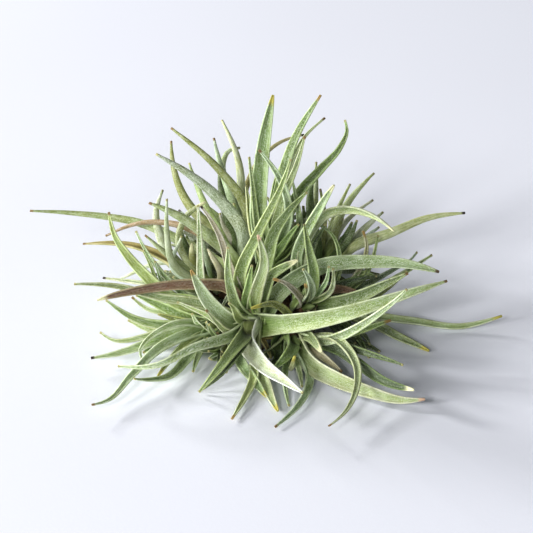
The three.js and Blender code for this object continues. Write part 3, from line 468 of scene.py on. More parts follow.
SEEN_LEAVES = leaves_of(
    "heart",
    ("broad_right", 5.6, 10, Tint.PALE, Tip.BROWN, (284, 323), (343, 313), (404, 295), (447, 281)),
    ("white_front", 5.6, 50, Tint.WHITE, (249, 342), (257, 356), (269, 370), (287, 383), (303, 393)),
    ("silver_left", 5.4, 36, Tint.SILVER, Tip.ORANGE, (228, 318), (210, 300), (191, 270)),
    ("long_left", 3.0, 20, Tint.SILVER, (228, 337), (194, 348), (156, 365), (118, 366)),
    ("pale_tall", 3.8, 12, Tint.GREEN, (241, 280), (258, 234), (283, 183), (291, 159)),
    ("white_margined", 3.8, 38, Tint.PALE, Tip.PINK, (254, 308), (259, 285), (264, 262), (258, 235)),
    ("silver_upright", 3.4, 34, Tint.SAGE, (237, 306), (231, 286), (228, 265), (228, 247)),
    ("green_inner", 3.0, 36, Tint.GREEN, (246, 298), (249, 281), (252, 265)),
    ("lime_tip", 3.0, 60, Tint.LIME, (240, 317), (234, 308), (229, 303)),
    ("short_mint", 3.2, 22, Tint.SAGE, Tip.CREAM, (267, 290), (273, 275), (284, 267), (298, 260)),
    ("channelled_up", 5.2, 6, Tint.GREEN, (268, 256), (275, 230), (287, 213), (307, 192)),
    ("long_level_right", 4.8, -8, Tint.SILVER, Tip.DARK_BLUNT,
     (288, 283), (320, 266), (366, 262), (416, 266), (439, 272)),
    ("mauve_up", 2.9, 6, Tint.MAUVE, Tip.BLACK, (231, 269), (221, 237), (201, 206)),
    ("purple_left", 3.2, 12, Tint.PURPLE, Tip.CREAM,
     (228, 287), (196, 284), (154, 287), (112, 295), (97, 300)),
    ("pale_left", 2.8, 8, Tint.SAGE, (203, 303), (160, 296), (119, 286), (74, 284)),
    ("broad_green_left", 4.4, 0, Tint.GREEN, (215, 309), (182, 298), (152, 295)),
    ("toothed", 2.2, 40, Tint.PALE, Tip.BROWN, (229, 331), (216, 321), (206, 310)),
    ("thin_pale_left", 2.0, 20, Tint.PALE, (221, 324), (207, 315), (177, 302)),
    ("front_pale", 3.6, 26, Tint.PALE, Tip.YELLOW, (260, 373), (267, 384), (273, 399), (278, 411)),
    ("front_narrow", 3.2, 28, Tint.MINT, Tip.YELLOW, (241, 358), (253, 379), (267, 397)),
    ("front_olive", 2.8, 28, Tint.LIME, Tip.ORANGE, (253, 384), (246, 397), (232, 419)),
    ("low_green", 4.0, 30, Tint.GREEN, (225, 361), (210, 379), (199, 392)),
    ("low_mint", 2.0, 34, Tint.MINT, (233, 358), (226, 373)),
    "crest",
    ("tallest_green", 5.0, 20, Tint.SAGE, Tip.YELLOW, (259, 215), (261, 160), (273, 95)),
    ("tallest_olive", 3.8, 5, Tint.SAGE, Tip.ORANGE, (277, 205), (291, 151), (321, 95)),
    ("olive_twin", 2.8, 16, Tint.SAGE, Tip.BROWN, (285, 195), (298, 160), (305, 136)),
    ("thin_behind", 2.0, -15, Tint.SAGE, Tip.BROWN, (290, 170), (306, 136), (325, 118)),
    ("curled_olive", 4.0, -10, Tint.GREEN, (302, 193), (322, 169), (341, 146), (347, 131), (345, 120)),
    ("silver_crossing", 3.0, 26, Tint.SILVER, Tip.BROWN, (288, 212), (277, 175), (259, 150)),
    ("white_edge", 2.2, 24, Tint.SAGE, (255, 215), (252, 185), (249, 157)),
    ("mint_stub", 2.8, 28, Tint.GREEN, (284, 243), (299, 224)),
    "right",
    ("upright_channelled", 4.6, 20, Tint.GREEN, (313, 272), (308, 250), (304, 224)),
    ("mint_up_right", 3.2, 22, Tint.SILVER, Tip.CREAM, (297, 254), (307, 228), (320, 205), (334, 185)),
    ("arching_yellow", 3.2, 12, Tint.PALE, Tip.CREAM,
     (306, 238), (326, 214), (350, 209), (375, 216), (394, 231)),
    ("silver_short", 3.0, 58, Tint.SILVER, (311, 292), (303, 269)),
    ("mint_thin", 2.0, 35, Tint.MINT, (324, 285), (329, 266)),
    ("silver_thin", 2.2, 26, Tint.SILVER, (331, 288), (333, 268)),
    ("olive_thin", 1.9, 60, Tint.SAGE, Tip.ORANGE, (308, 296), (305, 284)),
    ("mauve_curl", 2.0, 50, Tint.MAUVE, Tip.ORANGE, (301, 304), (294, 290), (284, 282), (273, 279)),
    ("broad_channelled", 5.2, 4, Tint.SAGE, Tip.BROWN, (340, 303), (360, 296), (382, 285), (408, 273)),
    ("brown_middle", 3.2, -14, Tint.PURPLE, Tip.BROWN, (335, 289), (365, 295)),
    ("dark_middle", 3.2, -20, Tint.DARK, (345, 282), (377, 276)),
    "right_low",
    ("white_right", 3.2, 38, Tint.SILVER, (330, 338), (355, 328), (378, 314), (396, 300), (407, 289)),
    ("orange_tip", 2.6, 8, Tint.GREEN, Tip.ORANGE, (326, 338), (352, 332), (391, 320)),
    ("small_low_right", 2.8, 38, Tint.DARK, (345, 345), (371, 353), (403, 365)),
    ("pale_low_right", 3.2, 40, Tint.DARK, Tip.CREAM, (343, 352), (358, 363), (385, 381), (414, 390)),
    ("long_low_right", 5.2, 30, Tint.PALE, Tip.PINK,
     (315, 366), (336, 378), (370, 392), (403, 400), (425, 399)),
    ("s_curve", 2.8, 42, Tint.SAGE, Tip.BROWN, (340, 342), (357, 365), (355, 394), (346, 411), (329, 426)),
    ("low_hook", 2.8, 38, Tint.MINT, Tip.BROWN, (309, 378), (304, 395), (292, 412), (275, 427)),
    ("low_short", 2.4, 46, Tint.PALE, (298, 368), (302, 387)),
    ("low_tiny", 2.2, 50, Tint.SAGE, (284, 385), (289, 406)),
    ("dark_diagonal", 4.8, 48, Tint.GREEN, (291, 349), (282, 359), (271, 371)),
    ("short_white", 3.2, 54, Tint.SAGE, Tip.CREAM, (309, 335), (318, 345), (322, 352)),
    ("beige_low", 3.2, 36, Tint.BEIGE, Tip.BROWN, (324, 357), (342, 372)),
    ("olive_curl", 2.2, 20, Tint.OLIVE, Tip.YELLOW, (290, 317), (273, 304), (251, 308)),
    "right_side",
    ("far_right", 2.3, 0, Tint.PALE, Tip.YELLOW, (386, 318), (412, 321), (460, 327), (502, 316)),
    ("yellow_tip", 3.0, 16, Tint.SAGE, Tip.YELLOW, (381, 328), (395, 335), (429, 351)),
    ("small_down", 2.2, 28, Tint.GREEN, (357, 337), (369, 358)),
    ("beige_thin", 1.9, 4, Tint.BEIGE, Tip.ORANGE, (360, 268), (366, 246), (363, 231)),
    ("green_thin", 1.9, -10, Tint.GREEN, (370, 265), (378, 235)),
    ("dark_curve", 2.0, 12, Tint.GREEN, Tip.BROWN, (340, 262), (333, 236), (317, 224)),
    ("behind_right", 2.2, -20, Tint.GREEN, (395, 277), (432, 255)),
    "right_upper",
    ("long_right", 3.4, -8, Tint.LIME, Tip.BLACK, (353, 248), (390, 233), (430, 218), (465, 213)),
    ("green_up", 3.0, -15, Tint.GREEN, (342, 212), (354, 194), (374, 173)),
    ("thin_up", 1.9, -20, Tint.GREEN, (335, 215), (350, 184)),
    ("brown_tip", 1.9, -16, Tint.OLIVE, Tip.BROWN, (324, 216), (320, 189)),
    ("dark_up", 2.8, -14, Tint.SAGE, (314, 218), (315, 187), (316, 162)),
    ("thin_side", 1.9, -26, Tint.PALE, (352, 215), (373, 200)),
    ("green_side", 3.0, -22, Tint.PALE, (355, 237), (383, 212)),
    ("blue_side", 2.4, -32, Tint.BLUE, (357, 243), (379, 227)),
    ("dark_side", 2.8, 6, Tint.DARK, (345, 243), (357, 220)),
    "left",
    ("bright_up", 4.6, 10, Tint.LIME, Tip.BROWN, (160, 287), (130, 258), (116, 237), (109, 212)),
    ("thin_up", 2.0, -4, Tint.MINT, (163, 274), (150, 257), (136, 231)),
    ("white_edge_up", 2.6, 16, Tint.MINT, (205, 290), (201, 254), (198, 205)),
    ("long_drooping", 3.2, 38, Tint.SILVER, Tip.BROWN,
     (181, 338), (160, 349), (131, 376), (107, 401), (92, 405)),
    ("curvy_low", 3.2, 42, Tint.SAGE, (188, 358), (168, 377), (148, 380), (134, 379)),
    ("yellow_small", 1.9, 40, Tint.LIME, Tip.YELLOW, (175, 354), (158, 376)),
    ("dark_small", 3.0, 44, Tint.SAGE, (201, 352), (193, 372)),
    ("black_dot", 3.6, 18, Tint.PALE, Tip.BLACK, (170, 336), (123, 352), (91, 358)),
    ("light_curve", 2.4, 5, Tint.PALE, (168, 329), (144, 337), (111, 339), (100, 332)),
    ("pale_hook", 2.2, 30, Tint.PALE, (164, 328), (146, 341), (140, 351), (142, 360)),
    ("green_level", 3.0, 4, Tint.GREEN, (172, 324), (133, 317), (106, 300)),
    ("green_under", 2.6, -8, Tint.PALE, (155, 331), (128, 320)),
    ("short_upper", 2.2, -5, Tint.PALE, Tip.BROWN, (164, 312), (149, 309), (132, 297)),
    "left_upper",
    ("orange_brown", 3.2, -6, Tint.RUSSET, Tip.BROWN, (163, 259), (136, 247), (83, 244)),
    ("olive_short", 2.8, 6, Tint.SAGE, Tip.BROWN, (170, 255), (145, 235)),
    ("lime_upright", 2.6, 28, Tint.PALE, (173, 262), (168, 235), (167, 199)),
    ("mint_bent", 2.2, 2, Tint.SAGE, Tip.CREAM, (180, 237), (187, 217), (206, 202)),
    ("blue_stub", 4.4, -22, Tint.SILVER, (166, 245), (157, 212), (163, 190)),
    ("grey_thin", 2.0, -14, Tint.SILVER, Tip.BLACK, (165, 286), (140, 283), (103, 278)),
    "rear_top",
    ("far_left", 3.4, -6, Tint.GREEN, Tip.BROWN, (186, 246), (139, 224), (106, 217), (70, 213), (30, 211)),
    ("mauve_left", 2.4, -16, Tint.PURPLE, Tip.BROWN, (205, 238), (179, 225), (153, 222), (106, 236)),
    ("silver_brown_tip", 4.6, 24, Tint.SAGE, Tip.BROWN, (219, 246), (186, 221), (149, 203)),
    ("blue_silver", 4.3, 12, Tint.BLUE, (240, 230), (216, 198), (190, 176), (156, 154)),
    ("olive_long", 3.2, -4, Tint.OLIVE, Tip.BROWN, (246, 212), (219, 171), (171, 128)),
    ("olive_behind", 3.6, -16, Tint.OLIVE, Tip.BROWN, (205, 225), (187, 203), (173, 166), (171, 141)),
    ("lime_behind", 2.9, -10, Tint.GREEN, (214, 222), (198, 190), (189, 163)),
    ("green_pointed", 3.6, -14, Tint.MINT, Tip.BROWN, (236, 212), (222, 168), (214, 138)),
    ("mint_hooked", 2.4, -26, Tint.MINT, Tip.CREAM, (230, 192), (223, 163), (229, 151), (240, 148)),
    ("grey_tall", 3.4, -22, Tint.SILVER, (243, 195), (239, 163), (222, 120)),
    ("brown_arch", 2.2, -30, Tint.RUSSET, Tip.BLACK, (247, 190), (262, 158), (283, 141), (304, 135)),
    ("pink_strip", 1.9, -20, Tint.BEIGE, Tip.ORANGE, (230, 214), (230, 191)),
)

# Slimmer leaves that show between the others. They are dressing only, and grow once the rest stand.
SLIM_LEAVES = leaves_of(
    "rear_top",
    ("shaded_broad", 3.4, -30, Tint.DARK, (228, 218), (222, 195), (219, 172)),
    ("lime_glimpse", 2.2, -6, Tint.LIME, (240, 232), (236, 215), (234, 203)),
    ("olive_mass", 3.4, -14, Tint.OLIVE, (222, 245), (210, 230), (199, 214)),
    ("mauve_stub", 2.0, -6, Tint.MAUVE, (230, 238), (222, 222), (220, 213)),
    ("green_under", 3.0, -20, Tint.GREEN, (238, 240), (222, 222), (203, 203)),
    "crest",
    ("lime_behind", 2.8, -8, Tint.LIME, (254, 235), (249, 212), (246, 186)),
    ("low_tip", 3.0, -4, Tint.OLIVE, (275, 225), (276, 200), (277, 176)),
    ("edge_behind", 3.0, -14, Tint.GREEN, (272, 210), (277, 180), (289, 152)),
    ("grey_tip", 2.4, -2, Tint.SAGE, (300, 225), (297, 200), (292, 180)),
    ("shaded_stub", 3.0, 10, Tint.SAGE, (288, 250), (291, 238), (296, 224)),
    "left_upper",
    ("blue_tip", 2.0, -16, Tint.BLUE, Tip.BLACK, (200, 235), (190, 221), (179, 210)),
    ("dark_mass", 4.0, -18, Tint.DARK, (192, 262), (186, 245), (180, 228)),
    ("white_glint", 2.0, 12, Tint.WHITE, (172, 262), (177, 248), (182, 236)),
    ("olive_blunt", 2.8, 2, Tint.OLIVE, Tip.CREAM, (195, 268), (193, 255), (192, 243)),
    ("beige_bend", 3.0, 0, Tint.BEIGE, (222, 275), (216, 262), (208, 249)),
    ("pale_strand", 1.9, -20, Tint.PALE, (165, 262), (148, 266), (134, 273), (119, 280)),
    "left",
    ("fan_mint", 1.9, 2, Tint.MINT, (163, 284), (158, 272), (155, 261)),
    ("fan_green", 1.9, -4, Tint.GREEN, (158, 284), (152, 268), (143, 250)),
    ("broad_level", 4.2, 2, Tint.GREEN, (188, 318), (168, 308), (136, 295)),
    ("dark_level", 3.0, 4, Tint.OLIVE, (192, 322), (175, 318), (158, 314)),
    ("silver_curve", 2.6, 18, Tint.SILVER, (210, 335), (200, 327), (192, 313)),
    ("pale_level", 4.0, 16, Tint.GREEN, (190, 334), (166, 341), (143, 353)),
    "right_upper",
    ("dark_broad", 4.2, -18, Tint.DARK, (312, 225), (309, 200), (313, 178)),
    ("under_arch", 3.6, -8, Tint.OLIVE, (330, 250), (335, 232), (343, 218)),
    ("under_arch_dark", 3.2, -12, Tint.DARK, (338, 248), (352, 222)),
    "right",
    ("dark_fill", 3.4, 0, Tint.DARK, (312, 250), (318, 236), (326, 224)),
    "right_side",
    ("short_tip", 2.8, -8, Tint.GREEN, (352, 280), (362, 273), (375, 276)),
    ("inner_channel", 3.0, 8, Tint.PALE, (352, 300), (372, 289), (398, 277)),
    ("olive_edge", 2.8, 2, Tint.OLIVE, (368, 298), (385, 288), (407, 271)),
    ("shaded_low", 3.2, 10, Tint.DARK, (350, 340), (365, 345), (380, 352)),
    ("blue_peak", 2.0, -26, Tint.BLUE, (395, 268), (410, 260), (417, 252)),
    "heart",
    ("low_dark", 3.2, 22, Tint.DARK, (228, 364), (218, 376), (203, 389)),
    "right_low",
    ("yellow_bit", 1.9, 50, Tint.LIME, Tip.YELLOW, (291, 368), (293, 363), (295, 356)),
    ("brown_strap", 2.2, 30, Tint.RUSSET, (262, 338), (267, 350), (271, 358)),
    ("dark_low", 3.4, 24, Tint.DARK, (275, 345), (278, 356), (270, 366)),
)


# ---- growth ----


@dataclass
class Head:
    """A rosette's stem and heart.

    Args:
        spec: where its heart is.
    """

    spec: HeadPlace
    heart: Vec = field(init=False)
    axis: Vec = field(init=False)
    stem_length: float = field(init=False)
    size: float = field(init=False)

    def __post_init__(self) -> None:
        """Runs the axis from the crown's centre to the heart."""
        spec = self.spec
        if spec.place is None:
            self.heart = SIGHT.place(np.array(spec.pixel, float), np.array(spec.depth))
        else:
            self.heart = np.array(spec.place, float)
        along = self.heart - np.array(CROWN.centre)
        length = float(np.linalg.norm(along))
        self.axis = along / length
        self.stem_length = length - CROWN.radius - SEAT_GAP
        self.size = STEM.pup_size if spec.small else 1.0

    @property
    def foot(self) -> Vec:
        """Where the stem seats on the crown."""
        return self.heart - self.axis * self.stem_length

    @cached_property
    def compass(self) -> tuple[Vec, Vec]:
        """Two directions square to the axis, east and north round it."""
        base = X_AXIS if abs(self.axis[2]) > NEAR_UPRIGHT else UP
        east = unit(cross(base, self.axis))
        return east, cross(self.axis, east)

    def root_of(self, direction: Vec) -> tuple[Vec, Vec]:
        """Where a leaf that grows in a direction starts: outer leaves start lower on the stem.

        Args:
            direction: the way from the heart to the leaf's tip.

        Returns:
            The start, and the direction outwards from the stem there.
        """
        share = np.clip(np.dot(unit(direction), self.axis), -1.0, 1.0)
        angle = math.acos(share)
        outward = unit(direction - self.axis * np.dot(direction, self.axis))
        depth = min(1.0, angle / STEM.deepest_angle)
        sink = lerp(STEM.root_sink, STEM.deepest_root, depth) * self.size
        return self.heart - self.axis * sink + outward * STEM.root_side * self.size, outward

    def towards(self, tilt: float, azimuth: float) -> Vec:
        """The direction that leans a tilt off the axis, at an azimuth round it."""
        east, north = self.compass
        aim = east * math.cos(azimuth) + north * math.sin(azimuth)
        return self.axis * math.cos(tilt) + aim * math.sin(tilt)


def midline_through(points: Vec, count: int) -> Vec:
    """A smooth curve through points, evenly sampled by chord.

    Each stretch is the cubic with the stretch's ends and tangents. A tangent is the blend of the slopes
    beside it by their lengths, and at an end it carries on the bend of the stretch beside it.

    Args:
        points: n x 3 points, n at least 2.
        count: how many stretches the samples make.

    Returns:
        count + 1 points.
    """
    runs = points[1:] - points[:-1]
    steps = np.sqrt(dot(runs, runs))
    slopes = runs / steps[:, None]
    tangents = np.concatenate([slopes[:1], slopes])
    if len(points) > 2:
        share = (steps[:-1] / (steps[:-1] + steps[1:]))[:, None]
        tangents[1:-1] = lerp(slopes[:-1], slopes[1:], share)
        tangents[0] = lerp(tangents[0], tangents[1], -BLADE.end_bend)
        tangents[-1] = lerp(tangents[-1], tangents[-2], -BLADE.end_bend)
    starts = np.concatenate([[0.0], np.cumsum(steps)])
    along = np.linspace(0.0, starts[-1], count + 1)
    i = np.clip(np.searchsorted(starts, along, side="left") - 1, 0, len(steps) - 1)
    h = steps[i][:, None]
    u = np.minimum(1.0, (along - starts[i])[:, None] / h)
    return (
        points[i] * (2 * u**3 - 3 * u**2 + 1)
        + tangents[i] * h * (u**3 - 2 * u**2 + u)
        + points[i + 1] * (3 * u**2 - 2 * u**3)
        + tangents[i + 1] * h * (u**3 - u**2)
    )


@dataclass
class Blade:
    """A leaf as it grows: the points of its midline, its width, and how it faces.

    Args:
        head: the rosette that it belongs to.
        points: n x 3 points of its midline, from the root.
        width: its greatest width.
        outward: the direction outwards from the stem at its root.
        tint: its colours.
        tip: its tip.
        faces_eye: whether it shows in the photograph, and so shows its breadth.
    """

    head: Head
    points: Vec
    width: float
    outward: Vec
    tint: Tint
    tip: Tip
    faces_eye: bool = False

    @property
    def length(self) -> float:
        """The sum of the distances between its points."""
        runs = self.points[1:] - self.points[:-1]
        return float(np.sqrt(dot(runs, runs)).sum())

    def frames(self, count: int) -> tuple[Vec, Vec, Vec, Vec]:
        """The midline's samples, and the blade's face, side and along directions at each.

        The face is the part of axis * (along . outward) - outward * (along . axis) that is square to the
        midline, and the side is along x face.

        Args:
            count: how many stretches the samples make.

        Returns:
            Four arrays of count + 1 vectors: places, faces, sides, alongs.
        """
        midline = midline_through(self.points, count)
        ends = np.concatenate([midline[:1], midline, midline[-1:]])
        along = unit(ends[2:] - ends[:-2])
        axis, outward = self.head.axis, self.outward
        leaning = along @ outward
        rising = along @ axis
        face = axis * leaning[:, None] - outward * rising[:, None]
        face = unit(face - along * dot(face, along)[:, None])
        return midline, face, cross(along, face), along

    @property
    def thick(self) -> float:
        """How thick it is at its root."""
        return min(max(self.width * BLADE.thickness_per_width, BLADE.least_thickness), BLADE.thickness)

    def taper(self, share: Vec) -> Vec:
        """How wide the blade is at a share of its length: it opens from the root, then narrows."""
        opening = np.minimum(1.0, lerp(BLADE.root_share, 1.0, share / BLADE.root_stretch))
        return opening * (1 - share ** BLADE.taper[0]) ** BLADE.taper[1]

    @cached_property
    def solid(self) -> "Sections":
        """The blade's cross-sections, as coarse as its solid's."""
        low, high = BLADE.stations
        count = int(min(max(math.floor(self.length / BLADE.station_length + 0.5), low), high))
        at, face, side, _ = self.frames(count)
        share = np.arange(count + 1) / count
        width = np.maximum(BLADE.tip_width, self.width * self.taper(share))
        return Sections(at, face, side, width, lerp(self.thick, BLADE.tip_thickness, share))


@dataclass
class Sections:
    """A blade's cross-sections: places, faces and sides as n x 3 arrays, widths and thicknesses as n."""

    at: Vec
    face: Vec
    side: Vec
    width: Vec
    thickness: Vec

    @property
    def lowest_edge(self) -> float:
        """The height of the lowest margin or keel."""
        margin = self.at[:, 2] + self.face[:, 2] * BLADE.channel * self.width
        half = np.abs(self.side[:, 2]) * self.width / 2
        keel = self.at[:, 2] - self.face[:, 2] * self.thickness
        return float(min((margin - half).min(), keel.min()))

    def stretches(self) -> "Stretches":
        """The stretches between the sections as flat boxes."""
        rise = (BLADE.channel * self.width - self.thickness) / 2
        middles = self.at + self.face * rise[:, None]
        return Stretches(
            middles[:-1],
            middles[1:],
            self.side[:-1],
            self.face[:-1],
            self.width[:-1] / 2,
            (BLADE.channel * self.width[:-1] + self.thickness[:-1]) / 2,
        )


@dataclass
class Stretches:
    """Straight stretches of blade, stem or root: flat boxes of some half widths and thicknesses."""

    start: Vec
    end: Vec
    side: Vec
    face: Vec
    half_width: Vec
    half_thickness: Vec

    @property
    def sphere(self) -> tuple[Vec, float]:
        """The centre and radius of a ball that holds them all."""
        points = np.concatenate([self.start, self.end])
        low, high = points.min(axis=0), points.max(axis=0)
        radius = np.linalg.norm(high - low) / 2 + self.half_width.max() * math.sqrt(2)
        return (low + high) / 2, float(radius)

    def reach(self, links: Vec) -> Vec:
        """How far each box reaches along links, with the boxes along the first axis."""
        aside = np.abs(np.einsum("ijk,ik->ij", links, self.side)) * self.half_width[:, None]
        across = np.abs(np.einsum("ijk,ik->ij", links, self.face)) * self.half_thickness[:, None]
        return aside + across

    def clearance(self, other: "Stretches") -> float:
        """How clear of each other the nearest two stretches are.

        The shortest link between two straight stretches is found with both ends held to the stretches.
        The clearance is its length less what each box reaches along it.

        Args:
            other: the stretches that stand already.

        Returns:
            The least clearance, in mm.
        """
        d1 = self.end - self.start
        d2 = other.end - other.start
        r = self.start[:, None, :] - other.start[None, :, :]
        aa = dot(d1, d1)[:, None]
        ee = dot(d2, d2)[None, :]
        f = np.einsum("ijk,jk->ij", r, d2)
        c = np.einsum("ijk,ik->ij", r, d1)
        bb = d1 @ d2.T
        spread = aa * ee - bb * bb
        askew = spread > PARALLEL
        s = np.where(askew, (bb * f - c * ee) / np.where(askew, spread, 1.0), 0.0).clip(0.0, 1.0)
        t = (bb * s + f) / ee
        s = np.where(t < 0, (-c / aa).clip(0.0, 1.0), np.where(t > 1, ((bb - c) / aa).clip(0.0, 1.0), s))
        t = t.clip(0.0, 1.0)
        links = r + d1[:, None, :] * s[..., None] - d2[None, :, :] * t[..., None]
        distance = np.linalg.norm(links, axis=-1)
        links = links / np.maximum(distance, TOUCHING)[..., None]
        reaches = self.reach(links) + other.reach(links.transpose(1, 0, 2)).T
        buried = -(self.half_thickness[:, None] + other.half_thickness[None, :])
        return float(np.where(distance < TOUCHING, buried, distance - reaches).min())


class Standing:
    """What already stands: every blade, stem and root, by the rosette that it belongs to."""

    def __init__(self) -> None:
        """Starts with nothing."""
        self.rows: list[tuple[str, Stretches, Vec, float]] = []  # with the ball that holds each

    def add(self, owner: str, stretches: Stretches) -> None:
        """Lets some stretches of a rosette stand."""
        self.rows.append((owner, stretches, *stretches.sphere))

    def clearance(self, owner: str, stretches: Stretches, enough: float) -> float:
        """How clear some stretches are of all that other rosettes have standing.

        Args:
            owner: the rosette whose own stretches don't count.
            stretches: the new stretches.
            enough: nothing further off than this is looked at.

        Returns:
            The least clearance in mm, or infinity where nothing is near.
        """
        centre, radius = stretches.sphere
        owners, standing, centres, radii = zip(*self.rows, strict=True)
        apart = np.linalg.norm(np.array(centres) - centre, axis=1)
        near = apart <= radius + np.array(radii) + enough
        found = [standing[i] for i in np.flatnonzero(near) if owners[i] != owner]
        if not found:
            return math.inf
        columns = zip(*(vars(other).values() for other in found), strict=True)
        return stretches.clearance(Stretches(*(np.concatenate(column) for column in columns)))


class Screen:
    """What the leaves that show cover in the photograph."""

    def __init__(self, blades: Sequence[Blade]) -> None:
        """Takes the stretches of the blades' midlines, as pixels, depths and half widths in pixels."""
        columns: list[tuple[Vec, ...]] = []
        for blade in blades:
            pixels, depths = SIGHT.show(blade.solid.at)
            halves = blade.solid.width[:-1] / 2 / SIGHT.mm_per_pixel
            columns.append((pixels[:-1], pixels[1:], depths[:-1], depths[1:], halves))
        found = (np.concatenate(column) for column in zip(*columns, strict=True))
        self.start, self.end, self.start_depth, self.end_depth, self.half = found

    def is_crossed(self, sections: Sections) -> bool:
        """Whether a blade passes in front of a leaf that shows.

        Args:
            sections: the blade's cross-sections, of which the root's isn't looked at.

        Returns:
            True where its middle part covers any of it from in front.
        """
        pixels, depths = SIGHT.show(sections.at[1:])
        halves = sections.width[1:] / 2 / SIGHT.mm_per_pixel * SPIRAL.crossing_share
        away = pixels[:, None] - self.start
        run = self.end - self.start
        share = (dot(away, run) / dot(run, run)).clip(0.0, 1.0)
        gap = away - run * share[..., None]
        covers = np.sqrt(dot(gap, gap)) < self.half + halves[:, None]
        before = depths[:, None] > lerp(self.start_depth, self.end_depth, share)
        return bool((covers & before).any())


@dataclass(frozen=True)
class Aim:
    """How a leaf starts: its tilt and azimuth on the stem, its length, and how far it curls outwards."""

    tilt: float
    azimuth: float
    length: float
    curl: float


class Clump:
    """The whole plant as it grows: its rosettes, their leaves, and the wiry roots."""

    def __init__(self) -> None:
        """Grows the stems and the crown, the leaves that show, then those that the photograph hides."""
        self.heads = {spec.name: Head(spec) for spec in HEAD_PLACES}
        self.standing = Standing()
        self.blades: list[Blade] = []
        self.stand_bodies()
        for spec in SEEN_LEAVES:
            self.grow_seen(spec)
        self.screen = Screen(self.blades)
        for head in self.heads.values():
            if not head.spec.bare:
                for k in range(HEART_LEAVES.count):
                    self.grow_heart_leaf(head, k)
        draw = Draws(SPIRAL.seed)
        for name in HIDDEN_ORDER:
            self.grow_spiral(self.heads[name], draw)
        self.roots = self.grow_roots(draw() * math.pi)
        for spec in SLIM_LEAVES:
            self.grow_seen(spec, SLIM_BENDS)

    def worn(self) -> tuple[Tint, Tip]:
        """What the next leaf that the photograph hides wears."""
        count = len(self.blades)
        return GROWN_TINTS[count % len(GROWN_TINTS)], GROWN_TIPS[count % len(GROWN_TIPS)]

    def stand_bodies(self) -> None:
        """Lets the stems and the crown stand."""
        for head in self.heads.values():
            east, north = head.compass
            radius = np.array([STEM.clear_radius * head.size])
            ends = head.foot[None], head.heart[None]
            stem = Stretches(*ends, east[None], north[None], radius, radius)
            self.standing.add(head.spec.name, stem)
        centre = np.array([CROWN.centre])
        below = centre - UP * CROWN.clear_depth
        radius = np.array([CROWN.radius * CROWN.clear_share])
        lump = Stretches(below, centre, X_AXIS[None], UP[None], radius, radius)
        self.standing.add("crown", lump)

    def seen_points(self, head: Head, spec: SeenLeaf, lean: float, bow: float) -> tuple[Vec, Vec]:
        """The midline of a leaf that shows.

        A point's depth is the root's, plus its run across the picture times the tangent of the lean, plus
        the bow times 4s(1 - s), and at least what keeps it above the surface.

        Args:
            head: its rosette.
            spec: the leaf.
            lean: its lean towards the eye, in degrees.
            bow: its bow towards the eye, in mm.

        Returns:
            The points from the root, and the direction outwards from the stem.
        """
        pixels = np.array(spec.pixels, float)
        _, heart_depth = SIGHT.show(head.heart)
        tip_guess = SIGHT.place(pixels[-1], heart_depth)
        start, outward = head.root_of(tip_guess - head.heart)
        root_pixel, root_depth = SIGHT.show(start)
        legs = np.diff(np.concatenate([root_pixel[None], pixels]), axis=0)
        lengths = np.cumsum(np.hypot(legs[:, 0], legs[:, 1]) * SIGHT.mm_per_pixel)
        share = lengths / lengths[-1]
        leaning = lengths * math.tan(math.radians(lean))
        bowing = bow * 4 * share * (1 - share)
        height = LOWEST_EDGE + lerp(BLADE.thickness, BLADE.tip_thickness, share)
        depth = np.maximum(root_depth + leaning + bowing, SIGHT.depth_at_height(pixels, height))
        return np.concatenate([start[None], SIGHT.place(pixels, depth)]), outward

    def grow_seen(self, spec: SeenLeaf, bends: Sequence[Pair] = BENDS) -> None:
        """Grows a leaf that shows, bent as little as keeps it clear of the other rosettes.

        Args:
            spec: the leaf.
            bends: how it may be bent, the least first.
        """
        head = self.heads[spec.head]
        width = spec.width * BLADE.seen_width
        best, most = None, -math.inf
        for bend, bow in bends:
            lean = min(max(spec.lean + bend, -MOST_LEAN), MOST_LEAN)
            points, outward = self.seen_points(head, spec, lean, bow)
            blade = Blade(head, points, width, outward, spec.tint, spec.tip, faces_eye=True)
            low = min(0.0, blade.solid.lowest_edge - LOWEST_EDGE / 2)
            room = self.standing.clearance(spec.head, blade.solid.stretches(), CLEAR_GAP)
            clear = min(room, CLEAR_GAP) + low
            if best is None or clear > most + TOUCHING:
                best, most = blade, clear
            if clear >= CLEAR_GAP:
                break
        self.keep(best)

    def keep(self, blade: Blade) -> None:
        """Lets a blade stand."""
        self.standing.add(blade.head.spec.name, blade.solid.stretches())
        self.blades.append(blade)

    def is_clear(self, blade: Blade, gap: float = CLEAR_GAP) -> bool:
        """Whether a hidden blade is clear of the others and, unless the offshoot's, behind what shows."""
        if not blade.head.spec.small and self.screen.is_crossed(blade.solid):
            return False
        return self.standing.clearance(blade.head.spec.name, blade.solid.stretches(), CLEAR_GAP) >= gap

    def hidden_points(self, head: Head, aim: Aim) -> tuple[Vec, Vec]:
        """The midline of a leaf that curls outwards in equal stretches, none of them under the surface.

        Args:
            head: its rosette.
            aim: how it starts and how long it is.

        Returns:
            The points from the root, and the direction outwards from the stem.
        """
        start, outward = head.root_of(head.towards(aim.tilt, aim.azimuth))
        points = [start]
        for k in range(SPIRAL.stretches):
            angle = aim.tilt + aim.curl * k / (SPIRAL.stretches - 1)
            step = head.towards(angle, aim.azimuth) * (aim.length / SPIRAL.stretches)
            after = points[-1] + step
            after[2] = max(after[2], LOWEST_EDGE + BLADE.thickness)
            points.append(after)
        return np.array(points), outward

